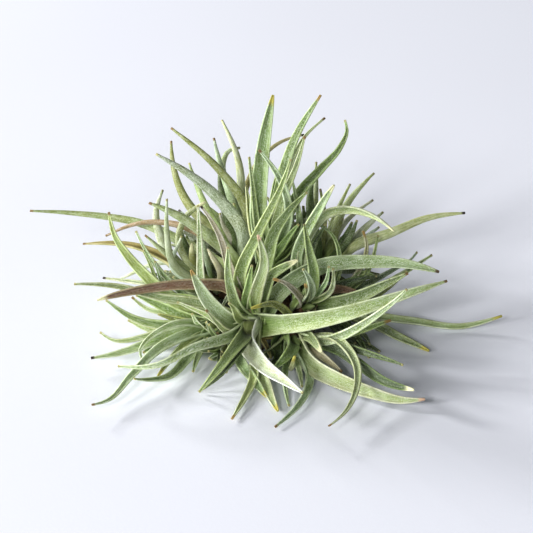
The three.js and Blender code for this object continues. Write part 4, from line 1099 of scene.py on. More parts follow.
    def grow_heart_leaf(self, head: Head, k: int) -> None:
        """Grows a short upright leaf at a heart, if there is room.

        Args:
            head: its rosette.
            k: its number, from 0.
        """
        aim = Aim(
            math.radians(HEART_LEAVES.tilt + k * HEART_LEAVES.tilt_step),
            math.radians(HEART_LEAVES.start + k * HEART_LEAVES.turn),
            HEART_LEAVES.length * head.size * (1 - HEART_LEAVES.shrink * k),
            math.radians(HEART_LEAVES.curl),
        )
        points, outward = self.hidden_points(head, aim)
        blade = Blade(head, points, HEART_LEAVES.width * head.size, outward, *self.worn())
        if self.is_clear(blade):
            self.keep(blade)

    def grow_hidden(self, head: Head, aim: Aim, width: float) -> None:
        """Grows a hidden leaf, shrunk, turned and bent as little as makes room for it, if anything does.

        Args:
            head: its rosette.
            aim: how it starts, if there is room.
            width: its greatest width.
        """
        for shrink, sidestep, bend in product(SHRINKS, SIDESTEPS, LEANS):
            tilt = max(LEAST_TILT, aim.tilt + math.radians(bend))
            azimuth = aim.azimuth + math.radians(sidestep)
            points, outward = self.hidden_points(head, Aim(tilt, azimuth, aim.length * shrink, aim.curl))
            if not self.inside_oval(points):
                continue
            blade = Blade(head, points, width, outward, *self.worn())
            if blade.solid.lowest_edge >= LOWEST_EDGE / 2 and self.is_clear(blade):
                self.keep(blade)
                return

    @staticmethod
    def inside_oval(points: Vec) -> bool:
        """Whether a hidden leaf shows inside the oval that the photograph allows it."""
        pixels, _ = SIGHT.show(points[1:])
        reach = (pixels - np.array(SPIRAL.oval_middle)) / np.array(SPIRAL.oval_reach)
        return bool((np.hypot(reach[:, 0], reach[:, 1]) < 1).all())

    def grow_spiral(self, head: Head, draw: Draws) -> None:
        """Grows a rosette's hidden leaves round its stem, from the inside out.

        Args:
            head: the rosette.
            draw: the seeded draws.
        """
        count = head.spec.hidden_count
        phase = draw() * 2 * math.pi
        for k in range(count):
            share = (k + 0.5) / count
            tilt = lerp(SPIRAL.inner_tilt, SPIRAL.outer_tilt, share**SPIRAL.spread)
            length = head.spec.hidden_length * lerp(*SPIRAL.length_shares, draw())
            curl = SPIRAL.curl * lerp(*SPIRAL.curl_shares, draw())
            azimuth = phase + math.radians(k * SPIRAL.turn)
            aim = Aim(math.radians(tilt), azimuth, length, math.radians(curl))
            self.grow_hidden(head, aim, lerp(*SPIRAL.widths, draw()) * head.size)

    def root_path(self, azimuth: float, shrink: float) -> Vec:
        """A root's midline: outwards from the crown, down to the surface, and wandering to both sides.

        Args:
            azimuth: the direction from the crown, in radians.
            shrink: its share of the whole length.

        Returns:
            Its points.
        """
        share = np.linspace(0.0, 1.0, ROOTS.steps + 1)[:, None]
        outward = np.array([math.cos(azimuth), math.sin(azimuth), 0.0])
        aside = np.array([-outward[1], outward[0], 0.0])
        fallen = np.minimum(1.0, share * ROOTS.fall)
        wave = np.sin(azimuth * ROOTS.wave_turns[0] + share * ROOTS.wave_turns[1])
        return (
            UP * lerp(ROOTS.rise, LOWEST_EDGE + ROOTS.radius, fallen)
            + outward * (ROOTS.start + ROOTS.length * shrink * share)
            + aside * ROOTS.wave * share * wave
        )

    def grow_root(self, azimuth: float) -> Vec | None:
        """Grows a root near a direction, if there is room.

        Args:
            azimuth: the direction from the crown, in radians.

        Returns:
            Its path, or None.
        """
        across, above = (np.tile(axis, (ROOTS.steps, 1)) for axis in (X_AXIS, UP))
        radii = np.full(ROOTS.steps, ROOTS.radius)
        for sidestep, shrink in product(ROOT_SIDESTEPS, SHRINKS):
            path = self.root_path(azimuth + math.radians(sidestep), shrink)
            stretches = Stretches(path[:-1], path[1:], across, above, radii, radii)
            if self.standing.clearance("crown", stretches, CLEAR_GAP) >= CLEAR_GAP:
                self.standing.add("crown", stretches)
                return path
        return None

    def grow_roots(self, phase: float) -> list[Vec]:
        """Grows the roots round the crown and gives their paths."""
        ways = [phase + 2 * math.pi * k / ROOTS.count for k in range(ROOTS.count)]
        return [path for way in ways if (path := self.grow_root(way)) is not None]


# ---- leaves that are only dressing: the youngest at the hearts, and the dry ones under them ----


@dataclass(frozen=True)
class Dressing:
    """Small leaves round a stem, set by a spiral rule of their own."""

    count: int
    lengths: Pair
    widths: Pair
    tilts: Pair  # degrees off the stem, from the first leaf to the last
    curl: float
    sink: float  # how far below the heart the last one starts, in mm
    tints: tuple[Tint, ...]
    tips: tuple[Tip, ...]
    phase: float
    room: float = 0.12  # it keeps this clear of the other rosettes, in mm
    turn_play: float = 0.25  # radians that a leaf may be off its turn
    tilt_play: float = 6.0  # degrees that it may be off its tilt
    root_side: float = 0.8  # how far off the stem's axis it starts, in mm


class Small(Enum):
    """The kinds of small leaf."""

    YOUNG = Dressing(
        7, (6.0, 12.0), (1.5, 2.4), (10.0, 70.0), 26.0, 3.0,
        (Tint.MINT, Tint.SAGE, Tint.GREEN, Tint.SILVER), (Tip.PLAIN,), 0.7,
    )  # fmt: skip
    DRY = Dressing(
        6, (8.0, 14.0), (1.8, 3.0), (96.0, 128.0), 18.0, 9.0,
        (Tint.DRY, Tint.BEIGE, Tint.DRY), (Tip.BROWN,), 2.1,
    )  # fmt: skip


def small_leaves(
    clump: Clump, head: Head, kind: Small, rng: np.random.Generator
) -> Iterator[Blade]:
    """The small leaves of one kind round a stem, where there is room for them.

    Leaf k stands at the golden angle times k round the stem, and its tilt, length and sink run from the
    first to the last.

    Args:
        clump: the plant, for what stands already.
        head: the rosette.
        kind: which leaves.
        rng: the seeded draws.

    Yields:
        Each leaf that found room.
    """
    rule = kind.value
    for k in range(rule.count):
        share = (k + 0.5) / rule.count
        play = rng.uniform(-rule.turn_play, rule.turn_play)
        azimuth = rule.phase + math.radians(SPIRAL.turn * k) + play
        play = rng.uniform(-rule.tilt_play, rule.tilt_play)
        tilt = math.radians(lerp(*rule.tilts, share) + play)
        length = lerp(*rule.lengths, rng.uniform()) * head.size
        width = lerp(*rule.widths, rng.uniform()) * head.size
        tint = rule.tints[int(rng.integers(len(rule.tints)))]
        tip = rule.tips[int(rng.integers(len(rule.tips)))]
        outward = head.towards(math.pi / 2, azimuth)
        start = head.heart - head.axis * rule.sink * share * head.size
        points = [start + outward * rule.root_side * head.size]
        for step in range(SPIRAL.stretches):
            angle = tilt + math.radians(rule.curl) * step / (SPIRAL.stretches - 1)
            after = points[-1] + head.towards(angle, azimuth) * length / SPIRAL.stretches
            after[2] = max(after[2], LOWEST_EDGE + BLADE.least_thickness)
            points.append(after)
        blade = Blade(head, np.array(points), width, outward, tint, tip)
        if clump.is_clear(blade, rule.room):
            yield blade


# ---- meshes ----


@dataclass
class Patch:
    """Part of a mesh: vertices in mm, faces that index them, and numbers and vectors on the vertices."""

    vertices: Vec
    quads: Vec
    triangles: Vec
    data: dict[str, Vec] = field(default_factory=dict)


def grid_quads(rows: int, columns: int) -> Vec:
    """The quads of a tube of rings: row after row, each ring closed.

    Args:
        rows: how many rings.
        columns: how many vertices a ring has.

    Returns:
        n x 4 indices, facing outwards where the ring runs anticlockwise as seen from the far end.
    """
    row = np.arange(rows - 1)[:, None] * columns
    here = np.arange(columns)[None, :]
    after = (here + 1) % columns
    corners = [row + here, row + columns + here, row + columns + after, row + after]
    return np.stack(corners, axis=-1).reshape(-1, 4)


def end_fans(rows: int, columns: int) -> Vec:
    """The triangles that close a tube at its first ring and at its last, round two added vertices.

    Args:
        rows: how many rings.
        columns: how many vertices a ring has.

    Returns:
        n x 3 indices.
    """
    here = np.arange(columns)
    after = (here + 1) % columns
    first = np.full(columns, rows * columns)
    last = first + 1
    far = (rows - 1) * columns
    near_fan = np.stack([first, here, after], axis=-1)
    far_fan = np.stack([far + here, last, far + after], axis=-1)
    return np.concatenate([near_fan, far_fan])


def closed_tube(rings: Vec, data: dict[str, Vec] | None = None) -> Patch:
    """A closed skin through rings, with a vertex at the middle of each end.

    Args:
        rings: rows x columns x 3 places.
        data: what each vertex carries, as rows x columns arrays with or without a last axis.

    Returns:
        The patch.
    """
    rows, columns, _ = rings.shape
    ends = rings[[0, -1]].mean(axis=1)
    carried = {}
    for name, values in (data or {}).items():
        tail = values.shape[2:]
        at_ends = values[[0, -1]].mean(axis=1)
        carried[name] = np.concatenate([values.reshape(-1, *tail), at_ends])
    vertices = np.concatenate([rings.reshape(-1, 3), ends])
    return Patch(vertices, grid_quads(rows, columns), end_fans(rows, columns), carried)


def joined(patches: Sequence[Patch]) -> Patch:
    """Several patches as one, with their faces pointing at their own vertices.

    Args:
        patches: the patches, all with the same data.

    Returns:
        The one patch.
    """
    shifts = np.cumsum([0, *(len(patch.vertices) for patch in patches[:-1])])
    shifted = list(zip(patches, shifts, strict=True))
    return Patch(
        np.concatenate([patch.vertices for patch in patches]),
        np.concatenate([patch.quads + shift for patch, shift in shifted]),
        np.concatenate([patch.triangles + shift for patch, shift in shifted]),
        {name: np.concatenate([patch.data[name] for patch in patches]) for name in patches[0].data},
    )


def placed(name: str, data: bpy.types.ID) -> bpy.types.Object:
    """A new object in the scene, with the data that it shows."""
    thing = bpy.data.objects.new(name, data)
    bpy.context.scene.collection.objects.link(thing)
    return thing


def mesh_piece(name: str, patch: Patch, material: Material, node: str) -> None:
    """Makes a piece of the plant that stands for a solid, and reports it.

    Args:
        name: the piece's name.
        patch: its mesh, in mm.
        material: its finish.
        node: the solid that it stands for.
    """
    mesh = bpy.data.meshes.new(name)
    quads, triangles = patch.quads, patch.triangles
    corners = np.concatenate([quads.ravel(), triangles.ravel()]).astype(np.int32)
    sizes = np.concatenate([np.full(len(quads), 4), np.full(len(triangles), 3)])
    mesh.vertices.add(len(patch.vertices))
    mesh.vertices.foreach_set("co", (patch.vertices * METRES).astype(np.float32).ravel())
    mesh.loops.add(len(corners))
    mesh.loops.foreach_set("vertex_index", corners)
    mesh.polygons.add(len(sizes))
    starts = np.concatenate([[0], np.cumsum(sizes)[:-1]])
    mesh.polygons.foreach_set("loop_start", starts.astype(np.int32))
    mesh.polygons.foreach_set("use_smooth", np.ones(len(sizes), bool))
    mesh.update(calc_edges=True)
    for key, values in patch.data.items():
        kind, field_name = ("FLOAT", "value") if values.ndim == 1 else ("FLOAT_VECTOR", "vector")
        layer = mesh.attributes.new(key, kind, "POINT")
        layer.data.foreach_set(field_name, values.astype(np.float32).ravel())
    mesh.validate()
    mesh.materials.append(material)
    piece = placed(name, mesh)
    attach(piece, "root")
    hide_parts(node)
    log.info("%s: %d vertices, %d faces", name, len(mesh.vertices), len(mesh.polygons))


def linear(colour: Colour) -> Vec:
    """An sRGB colour of numbers from 0 to 255 as linear numbers from 0 to 1."""
    share = np.array(colour, float) / 255
    return np.where(share <= 0.04045, share / 12.92, ((share + 0.055) / 1.055) ** 2.4)


@dataclass(frozen=True)
class LeafSkin:
    """The fine skin of a leaf: a thick gutter with rolled margins.

    Lengths are in mm, angles in radians where nothing else is said, and places along a leaf and across
    it are shares of its length and of its half width.
    """

    stations: tuple[int, int] = (12, 46)
    station_length: float = 1.8
    face_points: int = 9  # across each face
    spread: float = 1.14  # of the solid's width, measured round the gutter
    root_share: float = 1.5  # a leaf's base is broad and clasps the stem
    root_stretch: float = 0.16
    root_step: float = 1.0  # how much further out than the solid's the base stands
    root_step_end: float = 0.3
    slim: float = 0.12  # how much of the width a leaf loses by its middle
    slim_span: Pair = (0.1, 0.6)  # where it loses it
    tip_width: float = 0.5
    blunt_taper: Pair = (4.0, 0.6)
    tip_thickness: float = 0.36
    thin_rule: Pair = (0.5, 0.14)  # the most thickness: a share of the width, and this more
    margin: float = 0.3  # how thick the margin is
    margin_share: float = 0.6  # of the thickness, at most
    belly: float = 0.8  # the power by which the outer face rounds
    sink: float = 0.3  # of the thickness, by which the gutter stands above the midline
    lip: float = 0.15  # how high the margin's roll stands
    lip_place: float = 0.93
    lip_spread: float = 0.06
    root_turn: float = 1.3  # half the angle that the gutter turns through
    root_turn_end: float = 0.3
    turn: float = 1.02
    tip_turn: float = 1.3
    tip_turn_span: Pair = (0.6, 1.0)
    twist: float = 14.0  # degrees that a leaf may twist by its tip
    twist_power: float = 1.5
    askew: float = math.radians(24.0)  # a leaf that shows is no further from facing the eye, if it can
    most_roll: float = math.radians(50.0)
    roll_end: float = 0.4  # a leaf is rolled in full from here on
    waver: float = 0.22  # how far a midline wanders
    waver_turns: Pair = (4.0, 8.0)  # radians of its sine over the leaf
    lowest: float = 0.02
    seeds: float = 400.0  # the pattern of a leaf's finish is moved by up to this
    silver_play: Pair = (0.8, 1.15)
    shade_play: Pair = (0.9, 1.1)
    hue_play: float = 0.05
    hidden_painted_shade: float = 0.6  # painted shade: hidden leaves, deep among the others, are this much darker
    margin_play: Pair = (0.1, 0.9)  # how far a margin is from the body's colour to its own
    most_bright: float = 0.97

    def wandering(self, share: Vec, rng: np.random.Generator) -> list[Vec]:
        """How far a midline wanders: one slow sine for each way, still at both ends.

        Args:
            share: how far along the leaf its samples are.
            rng: the seeded draws.

        Returns:
            How far to its side, and how far to its face.
        """
        held = np.sin(math.pi * share)
        phases = rng.uniform(0, 2 * math.pi, 2)
        speeds = rng.uniform(*self.waver_turns, 2)
        pairs = zip(speeds, phases, strict=True)
        return [self.waver * held * np.sin(speed * share + phase) for speed, phase in pairs]

    def roll(self, blade: Blade, at: Vec, face: Vec, side: Vec) -> float:
        """How far a leaf that shows is rolled about its midline, so that it shows its breadth.

        The angle by which its side is off the picture's own across direction, less what it may be askew.

        Args:
            blade: the leaf.
            at: the places of its midline.
            face: its face directions.
            side: its side directions.

        Returns:
            The roll in radians, or 0 for a leaf that the photograph hides.
        """
        if not blade.faces_eye:
            return 0.0
        i = len(at) // 2
        across = unit(cross(at[i] - SIGHT.eye, at[i + 1] - at[i - 1]))
        angle = math.atan2(dot(face[i], across), dot(side[i], across))
        angle -= round(angle / math.pi) * math.pi
        needed = math.copysign(max(0.0, abs(angle) - self.askew), angle)
        return min(max(needed, -self.most_roll), self.most_roll)

    def dress(self, blade: Blade, rng: np.random.Generator) -> Patch:
        """The skin of one leaf.

        A section is part of a round gutter. With v from -1 to 1 and the gutter's half angle a, the inner
        face runs at the angle a * v round a centre that stands radius = width / (2 a) above the midline.
        The outer face is further from that centre by margin + (thickness - margin) * (1 - v^2)^belly, and
        a bell-shaped roll stands on the inner face near each margin. The width narrows along the leaf as
        the solid's does, and a little sooner.

        Args:
            blade: the leaf.
            rng: the seeded draws.

        Returns:
            Its closed skin, with what the leaf's finish reads.
        """
        low, high = self.stations
        count = int(min(max(round(blade.length / self.station_length), low), high))
        at, face, side, _ = blade.frames(count)
        share = np.linspace(0.0, 1.0, count + 1)
        roll = self.roll(blade, at, face, side)
        twist = np.radians(rng.uniform(-self.twist, self.twist)) * share**self.twist_power
        twist = twist - roll * smooth(0.0, self.roll_end, share)
        cos, sin = np.cos(twist)[:, None], np.sin(twist)[:, None]
        face, side = face * cos + side * sin, side * cos - face * sin
        aside, out = self.wandering(share, rng)
        out = out - self.root_step * blade.head.size * smooth(self.root_step_end, 0.0, share)
        at = at + side * aside[:, None] + face * out[:, None]

        opening = lerp(self.root_share, 1.0, np.minimum(1.0, share / self.root_stretch))
        blunt = blade.tip.value[2]
        tapers = zip(BLADE.taper, self.blunt_taper, strict=True)
        power, root = (lerp(low, high, blunt) for low, high in tapers)
        narrowing = (1 - share**power) ** root * (1 - self.slim * smooth(*self.slim_span, share))
        width = np.maximum(self.tip_width, self.spread * blade.width * opening * narrowing)
        thin_share, thin_least = self.thin_rule
        thickness = lerp(blade.thick, self.tip_thickness, share)
        thickness = np.minimum(thickness, thin_share * width + thin_least)
        margin = np.minimum(self.margin, self.margin_share * thickness)
        bend = lerp(self.root_turn, self.turn, smooth(0.0, self.root_turn_end, share))
        bend = lerp(bend, self.tip_turn, smooth(*self.tip_turn_span, share))

        v = np.sin(np.linspace(-math.pi / 2, math.pi / 2, self.face_points))
        ring = np.concatenate([v, v[::-1]])[None, :]
        under = np.concatenate([np.ones_like(v), np.zeros_like(v)])[None, :]
        w, t, m, a = width[:, None], thickness[:, None], margin[:, None], bend[:, None]
        radius = w / (2 * a)
        lips = np.exp(-(((np.abs(ring) - self.lip_place) / self.lip_spread) ** 2))
        depth = m + (t - m) * (1 - ring**2).clip(0.0, 1.0) ** self.belly
        far = radius + np.where(under > 0, depth, -self.lip * lips * np.minimum(1.0, w / 2))
        reach = far * np.sin(a * ring)
        rise = radius - far * np.cos(a * ring) + self.sink * t
        rings = at[:, None, :] + side[:, None, :] * reach[..., None] + face[:, None, :] * rise[..., None]
        under = np.broadcast_to(under, reach.shape)
        found = self.carried(blade, rng, share, ring * w / 2, under)
        return closed_tube(above_floor(rings, self.lowest), found)

    def carried(
        self, blade: Blade, rng: np.random.Generator, share: Vec, reach: Vec, under: Vec
    ) -> dict[str, Vec]:
        """What the leaf's finish reads at each vertex.

        Args:
            blade: the leaf.
            rng: the seeded draws.
            share: how far along the leaf each ring is.
            reach: rings x points distances off the midline, measured round the gutter.
            under: 1 on the outer face and 0 on the inner.

        Returns:
            leaf_place (mm across, mm along, seed), leaf_kind (share of the half width, outer face, silver),
            leaf_tip (distance from the tip as a share of its coloured length) and five colours.
        """
        shape = reach.shape
        half = np.abs(reach).max(axis=1, keepdims=True)
        run = np.broadcast_to((share * blade.length)[:, None], shape)
        seed = np.full(shape, rng.uniform(0.0, self.seeds))
        colours = blade.tint.value
        tip_colour, tip_length, _ = blade.tip.value
        silver = np.full(shape, colours.silver * rng.uniform(*self.silver_play))
        found = {
            "leaf_place": np.stack([reach, run, seed], axis=-1),
            "leaf_kind": np.stack([np.abs(reach) / half, under, silver], axis=-1),
            "leaf_tip": (blade.length - run) / tip_length,
        }
        shade = rng.uniform(*self.shade_play) * (1 + rng.uniform(-self.hue_play, self.hue_play, 3))
        # hidden leaves get painted shade on top of their own random tone
        shade = shade * (1.0 if blade.faces_eye else self.hidden_painted_shade)
        body, margin = np.array(colours.body, float), np.array(colours.margin)
        worn = {
            "leaf_channel": colours.channel,
            "leaf_body": colours.body,
            "leaf_back": colours.back,
            "leaf_margin": tuple(lerp(body, margin, rng.uniform(*self.margin_play))),
        }
        for name, colour in worn.items():
            seen = np.minimum(linear(colour) * shade, self.most_bright)
            found[name] = np.broadcast_to(seen, (*shape, 3))
        found["leaf_tip_colour"] = np.broadcast_to(linear(tip_colour), (*shape, 3))
        return found


# ---- finishes ----


class Wire:
    """A number that varies over a surface. Operators on it add Math nodes."""

    def __init__(self, nodes: "Nodes", socket: Socket) -> None:
        """Wraps an output socket of a material's nodes."""
        self.nodes = nodes
        self.socket = socket

    def math(self, operation: str, *values: "Wire | float", clamp: bool = False) -> "Wire":
        """A Math node over some values, of which this wire may be one."""
        settings = {"operation": operation, "use_clamp": clamp}
        node = self.nodes.add("ShaderNodeMath", settings, dict(enumerate(values)))
        return Wire(self.nodes, node.outputs[0])

    def __add__(self, other: "Wire | float") -> "Wire":
        """This plus other."""
        return self.math("ADD", self, other)

    __radd__ = __add__

    def __mul__(self, other: "Wire | float") -> "Wire":
        """This times other."""
        return self.math("MULTIPLY", self, other)

    __rmul__ = __mul__

    def __sub__(self, other: "Wire | float") -> "Wire":
        """This less other."""
        return self.math("SUBTRACT", self, other)

    def __rsub__(self, other: "Wire | float") -> "Wire":
        """Other less this."""
        return self.math("SUBTRACT", other, self)

    def clamped(self) -> "Wire":
        """This held between 0 and 1."""
        return self.math("ADD", self, 0.0, clamp=True)

    def step(self, low: float, high: float) -> "Wire":
        """0 below low, 1 above high and smooth between them; low may be above high."""
        span = {"Value": self, "From Min": min(low, high), "From Max": max(low, high)}
        node = self.nodes.add("ShaderNodeMapRange", {"interpolation_type": "SMOOTHSTEP"}, span)
        found = Wire(self.nodes, node.outputs[0])
        return found if low < high else 1 - found


Input = Wire | Socket | float | Sequence[float]


class Nodes:
    """The nodes of one material, behind one Principled shader."""

    def __init__(self, name: str) -> None:
        """Starts a material with nothing but its output."""
        self.material = bpy.data.materials.new(name)
        self.material.use_nodes = True
        self.tree = self.material.node_tree
        self.tree.nodes.clear()
        self.output = self.tree.nodes.new("ShaderNodeOutputMaterial")

    def add(self, kind: str, settings: dict[str, object], inputs: dict[str | int, Input]) -> bpy.types.Node:
        """Adds a node.

        Args:
            kind: its type.
            settings: its own settings, set first.
            inputs: values or links, by socket name or number.

        Returns:
            The node.
        """
        node = self.tree.nodes.new(kind)
        for name, value in settings.items():
            setattr(node, name, value)
        for key, value in inputs.items():
            socket = node.inputs[key]
            if isinstance(value, Wire):
                self.tree.links.new(value.socket, socket)
            elif isinstance(value, Socket):
                self.tree.links.new(value, socket)
            else:
                socket.default_value = value
        return node

    def carried(self, name: str, kind: str = "Color") -> Socket:
        """What the vertices carry by a name, as a Color, a Vector or a Fac (one number)."""
        return self.add("ShaderNodeAttribute", {"attribute_name": name}, {}).outputs[kind]

    def parts(self, vector: Socket) -> list[Wire]:
        """A vector's three numbers."""
        return [Wire(self, part) for part in self.add("ShaderNodeSeparateXYZ", {}, {0: vector}).outputs]

    def place(self) -> Socket:
        """The place on the object, in metres."""
        return self.add("ShaderNodeTexCoord", {}, {}).outputs["Object"]

    def scaled(self, vector: Socket, by: Sequence[float]) -> Socket:
        """A vector times another, part by part."""
        node = self.add("ShaderNodeVectorMath", {"operation": "MULTIPLY"}, {0: vector, 1: by})
        return node.outputs[0]

    def noise(self, vector: Socket, scale: float, detail: float = 2.0, roughness: float = 0.5) -> Wire:
        """Smooth noise about 0.5, of some lumps to the unit, with finer layers of some strength."""
        inputs = {"Vector": vector, "Scale": scale, "Detail": detail, "Roughness": roughness}
        return Wire(self, self.add("ShaderNodeTexNoise", {}, inputs).outputs[0])

    def mix(self, share: Wire | float, low: Input, high: Input, blend: str = "MIX") -> Socket:
        """A colour between two, or a colour with another blended over it.

        Args:
            share: how much of the second.
            low: the first colour.
            high: the second colour.
            blend: how they mix.

        Returns:
            The mixed colour.
        """
        node = self.add("ShaderNodeMix", {"data_type": "RGBA", "blend_type": blend}, {0: share})
        for socket, value in ((node.inputs[6], low), (node.inputs[7], high)):
            if isinstance(value, Socket):
                self.tree.links.new(value, socket)
            else:
                socket.default_value = (*value, 1.0)
        return node.outputs[2]

    def finish(
        self, colour: Input, roughness: Input, height: Wire, relief: float, fixed: dict[str, Input]
    ) -> Material:
        """Puts the surface together.

        Args:
            colour: its colour.
            roughness: its roughness.
            height: its relief, from 0 to 1.
            relief: how high 1 stands, in metres.
            fixed: what is the same all over.

        Returns:
            The material.
        """
        bump = self.add("ShaderNodeBump", {}, {"Height": height, "Distance": relief, "Strength": 1.0})
        varying = {"Base Color": colour, "Roughness": roughness, "Normal": bump.outputs[0]}
        shader = self.add("ShaderNodeBsdfPrincipled", {}, {**varying, **fixed})
        self.tree.links.new(shader.outputs[0], self.output.inputs[0])
        return self.material


@dataclass(frozen=True)
class StainAndShade:
    """A darker colour laid over a surface, as a real stain, and near a leaf's root as painted shade: none
    of it at a pattern's value low and its share at high.
    """

    low: float
    high: float
    share: float
    colour: Colour

    def over(self, nodes: Nodes, pattern: Wire, colour: Input) -> Socket:
        """A colour with this darkening over it."""
        return nodes.mix(pattern.step(self.low, self.high) * self.share, colour, self.colour, "MULTIPLY")


@dataclass(frozen=True)
class LeafFinish:
    """A leaf's surface: green, paler outside, with painted shade near the root, silver scales, fine streaks
    and a thick pale margin.
    """

    silver: Colour = (222, 230, 216)
    flecks_per_mm: float = 3.9
    fleck_stretch: Place = (1.0, 0.7, 1.0)
    streaks_per_mm: float = 3.2
    streak_stretch: Place = (1.0, 0.09, 1.0)
    fine: Pair = (3.0, 0.6)  # the detail and roughness of both
    clouds_per_mm: float = 0.16
    channel_edge: Pair = (0.15, 0.8)  # of the half width, from the channel's colour to the body's
    painted_root_shade: StainAndShade = StainAndShade(11.0, 2.0, 0.8, (0.4, 0.48, 0.22))  # painted shade near the root, where the leaves close in, by the mm
    grooves: StainAndShade = StainAndShade(0.42, 0.62, 0.6, (0.5, 0.58, 0.34))  # by the streaks
    blotches: StainAndShade = StainAndShade(0.38, 0.68, 0.6, (0.72, 0.7, 0.42))  # by the clouds
    fleck_scales: Pair = (0.46, 0.6)
    streak_scales: Pair = (0.5, 0.36)
    scale_shares: Pair = (0.85, 0.3)  # of both
    scales_start: Pair = (2.0, 14.0)  # mm along the leaf, where the scales set in
    margin_edge: Pair = (0.84, 0.97)
    margin_cloud: Pair = (0.7, 0.35)
    margin_shares: Pair = (0.4, 0.12)  # of the margin's colour, by the clouds and everywhere
    tip_edge: Pair = (1.25, 0.55)
    tip_waver: float = 0.5
    heights: Pair = (0.55, 0.6)  # of the flecks and of the streaks
    roughness: float = 0.56
    roughness_play: float = 0.12
    relief: float = 0.00009
    sheen: float = 0.22
    sheen_roughness: float = 0.45
    specular: float = 0.4

    def material(self) -> Material:
        """Builds the material.

        The inner face runs from the channel's colour to the body's, the outer face has the back's, the
        painted shade near the root, the stains and then silver scales lie over both, and margin and tip
        come last.

        Returns:
            The material.
        """
        nodes = Nodes("leaf_skin")
        place = nodes.carried("leaf_place", "Vector")
        across, under, silver = nodes.parts(nodes.carried("leaf_kind", "Vector"))
        from_tip = Wire(nodes, nodes.carried("leaf_tip", "Fac"))
        run = nodes.parts(place)[1]
        fleck = nodes.noise(nodes.scaled(place, self.fleck_stretch), self.flecks_per_mm, *self.fine)
        streak = nodes.noise(nodes.scaled(place, self.streak_stretch), self.streaks_per_mm, *self.fine)
        cloud = nodes.noise(place, self.clouds_per_mm)

        inner_share = across.step(*self.channel_edge)
        inner = nodes.mix(inner_share, nodes.carried("leaf_channel"), nodes.carried("leaf_body"))
        face = nodes.mix(under, inner, nodes.carried("leaf_back"))
        # the first layer is painted shade near the root; the others are the streaks' grooves and the
        # clouds' blotches
        for stain_or_shade, pattern in ((self.painted_root_shade, run), (self.grooves, streak), (self.blotches, cloud)):
            face = stain_or_shade.over(nodes, pattern, face)
        by_fleck, by_streak = self.scale_shares
        scales = fleck.step(*self.fleck_scales) * by_fleck + streak.step(*self.streak_scales) * by_streak
        scales = silver * scales * run.step(*self.scales_start)
        face = nodes.mix(scales.clamped(), face, tuple(linear(self.silver)))
        by_cloud, anyway = self.margin_shares
        edge = across.step(*self.margin_edge) * (cloud.step(*self.margin_cloud) * by_cloud + anyway)
        face = nodes.mix(edge, face, nodes.carried("leaf_margin"))
        tip = (from_tip + (fleck - 0.5) * self.tip_waver).step(*self.tip_edge)
        face = nodes.mix(tip, face, nodes.carried("leaf_tip_colour"))

        height = fleck * self.heights[0] + streak * self.heights[1]
        roughness = fleck * self.roughness_play + (self.roughness - self.roughness_play / 2)
        fixed = {
            "Sheen Weight": self.sheen,
            "Sheen Roughness": self.sheen_roughness,
            "Specular IOR Level": self.specular,
        }
        return nodes.finish(face, roughness, height, self.relief, fixed)


@dataclass(frozen=True)
class BarkFinish:
    """Brown fibrous wood, for the crown, the stems and the roots."""

    name: str
    dark: Colour
    light: Colour
    fibres: float = 900.0  # to the metre
    fibre_stretch: Place = (1.0, 1.0, 0.22)
    fibre_edge: Pair = (0.34, 0.68)  # from the dark brown to the light
    patches: float = 0.2  # of the fibres' number
    blotches: StainAndShade = StainAndShade(0.4, 0.7, 0.6, (0.5, 0.45, 0.4))
    heights: Pair = (0.8, 0.4)  # of the fibres and of the patches
    relief: float = 0.0004
    roughness: float = 0.85
    roughness_play: float = 0.1

    def material(self) -> Material:
        """Builds the material: fibre noise drawn out upwards, between a dark and a light brown.

        Returns:
            The material.
        """
        nodes = Nodes(self.name)
        place = nodes.place()
        fibre = nodes.noise(nodes.scaled(place, self.fibre_stretch), self.fibres, 5.0, 0.65)
        patch = nodes.noise(place, self.fibres * self.patches, 3.0)
        dark, light = tuple(linear(self.dark)), tuple(linear(self.light))
        colour = nodes.mix(fibre.step(*self.fibre_edge), dark, light)
        colour = self.blotches.over(nodes, patch, colour)
        height = fibre * self.heights[0] + patch * self.heights[1]
        roughness = fibre * self.roughness_play + self.roughness - self.roughness_play
        return nodes.finish(colour, roughness, height, self.relief, {})


# ---- the plant's pieces ----


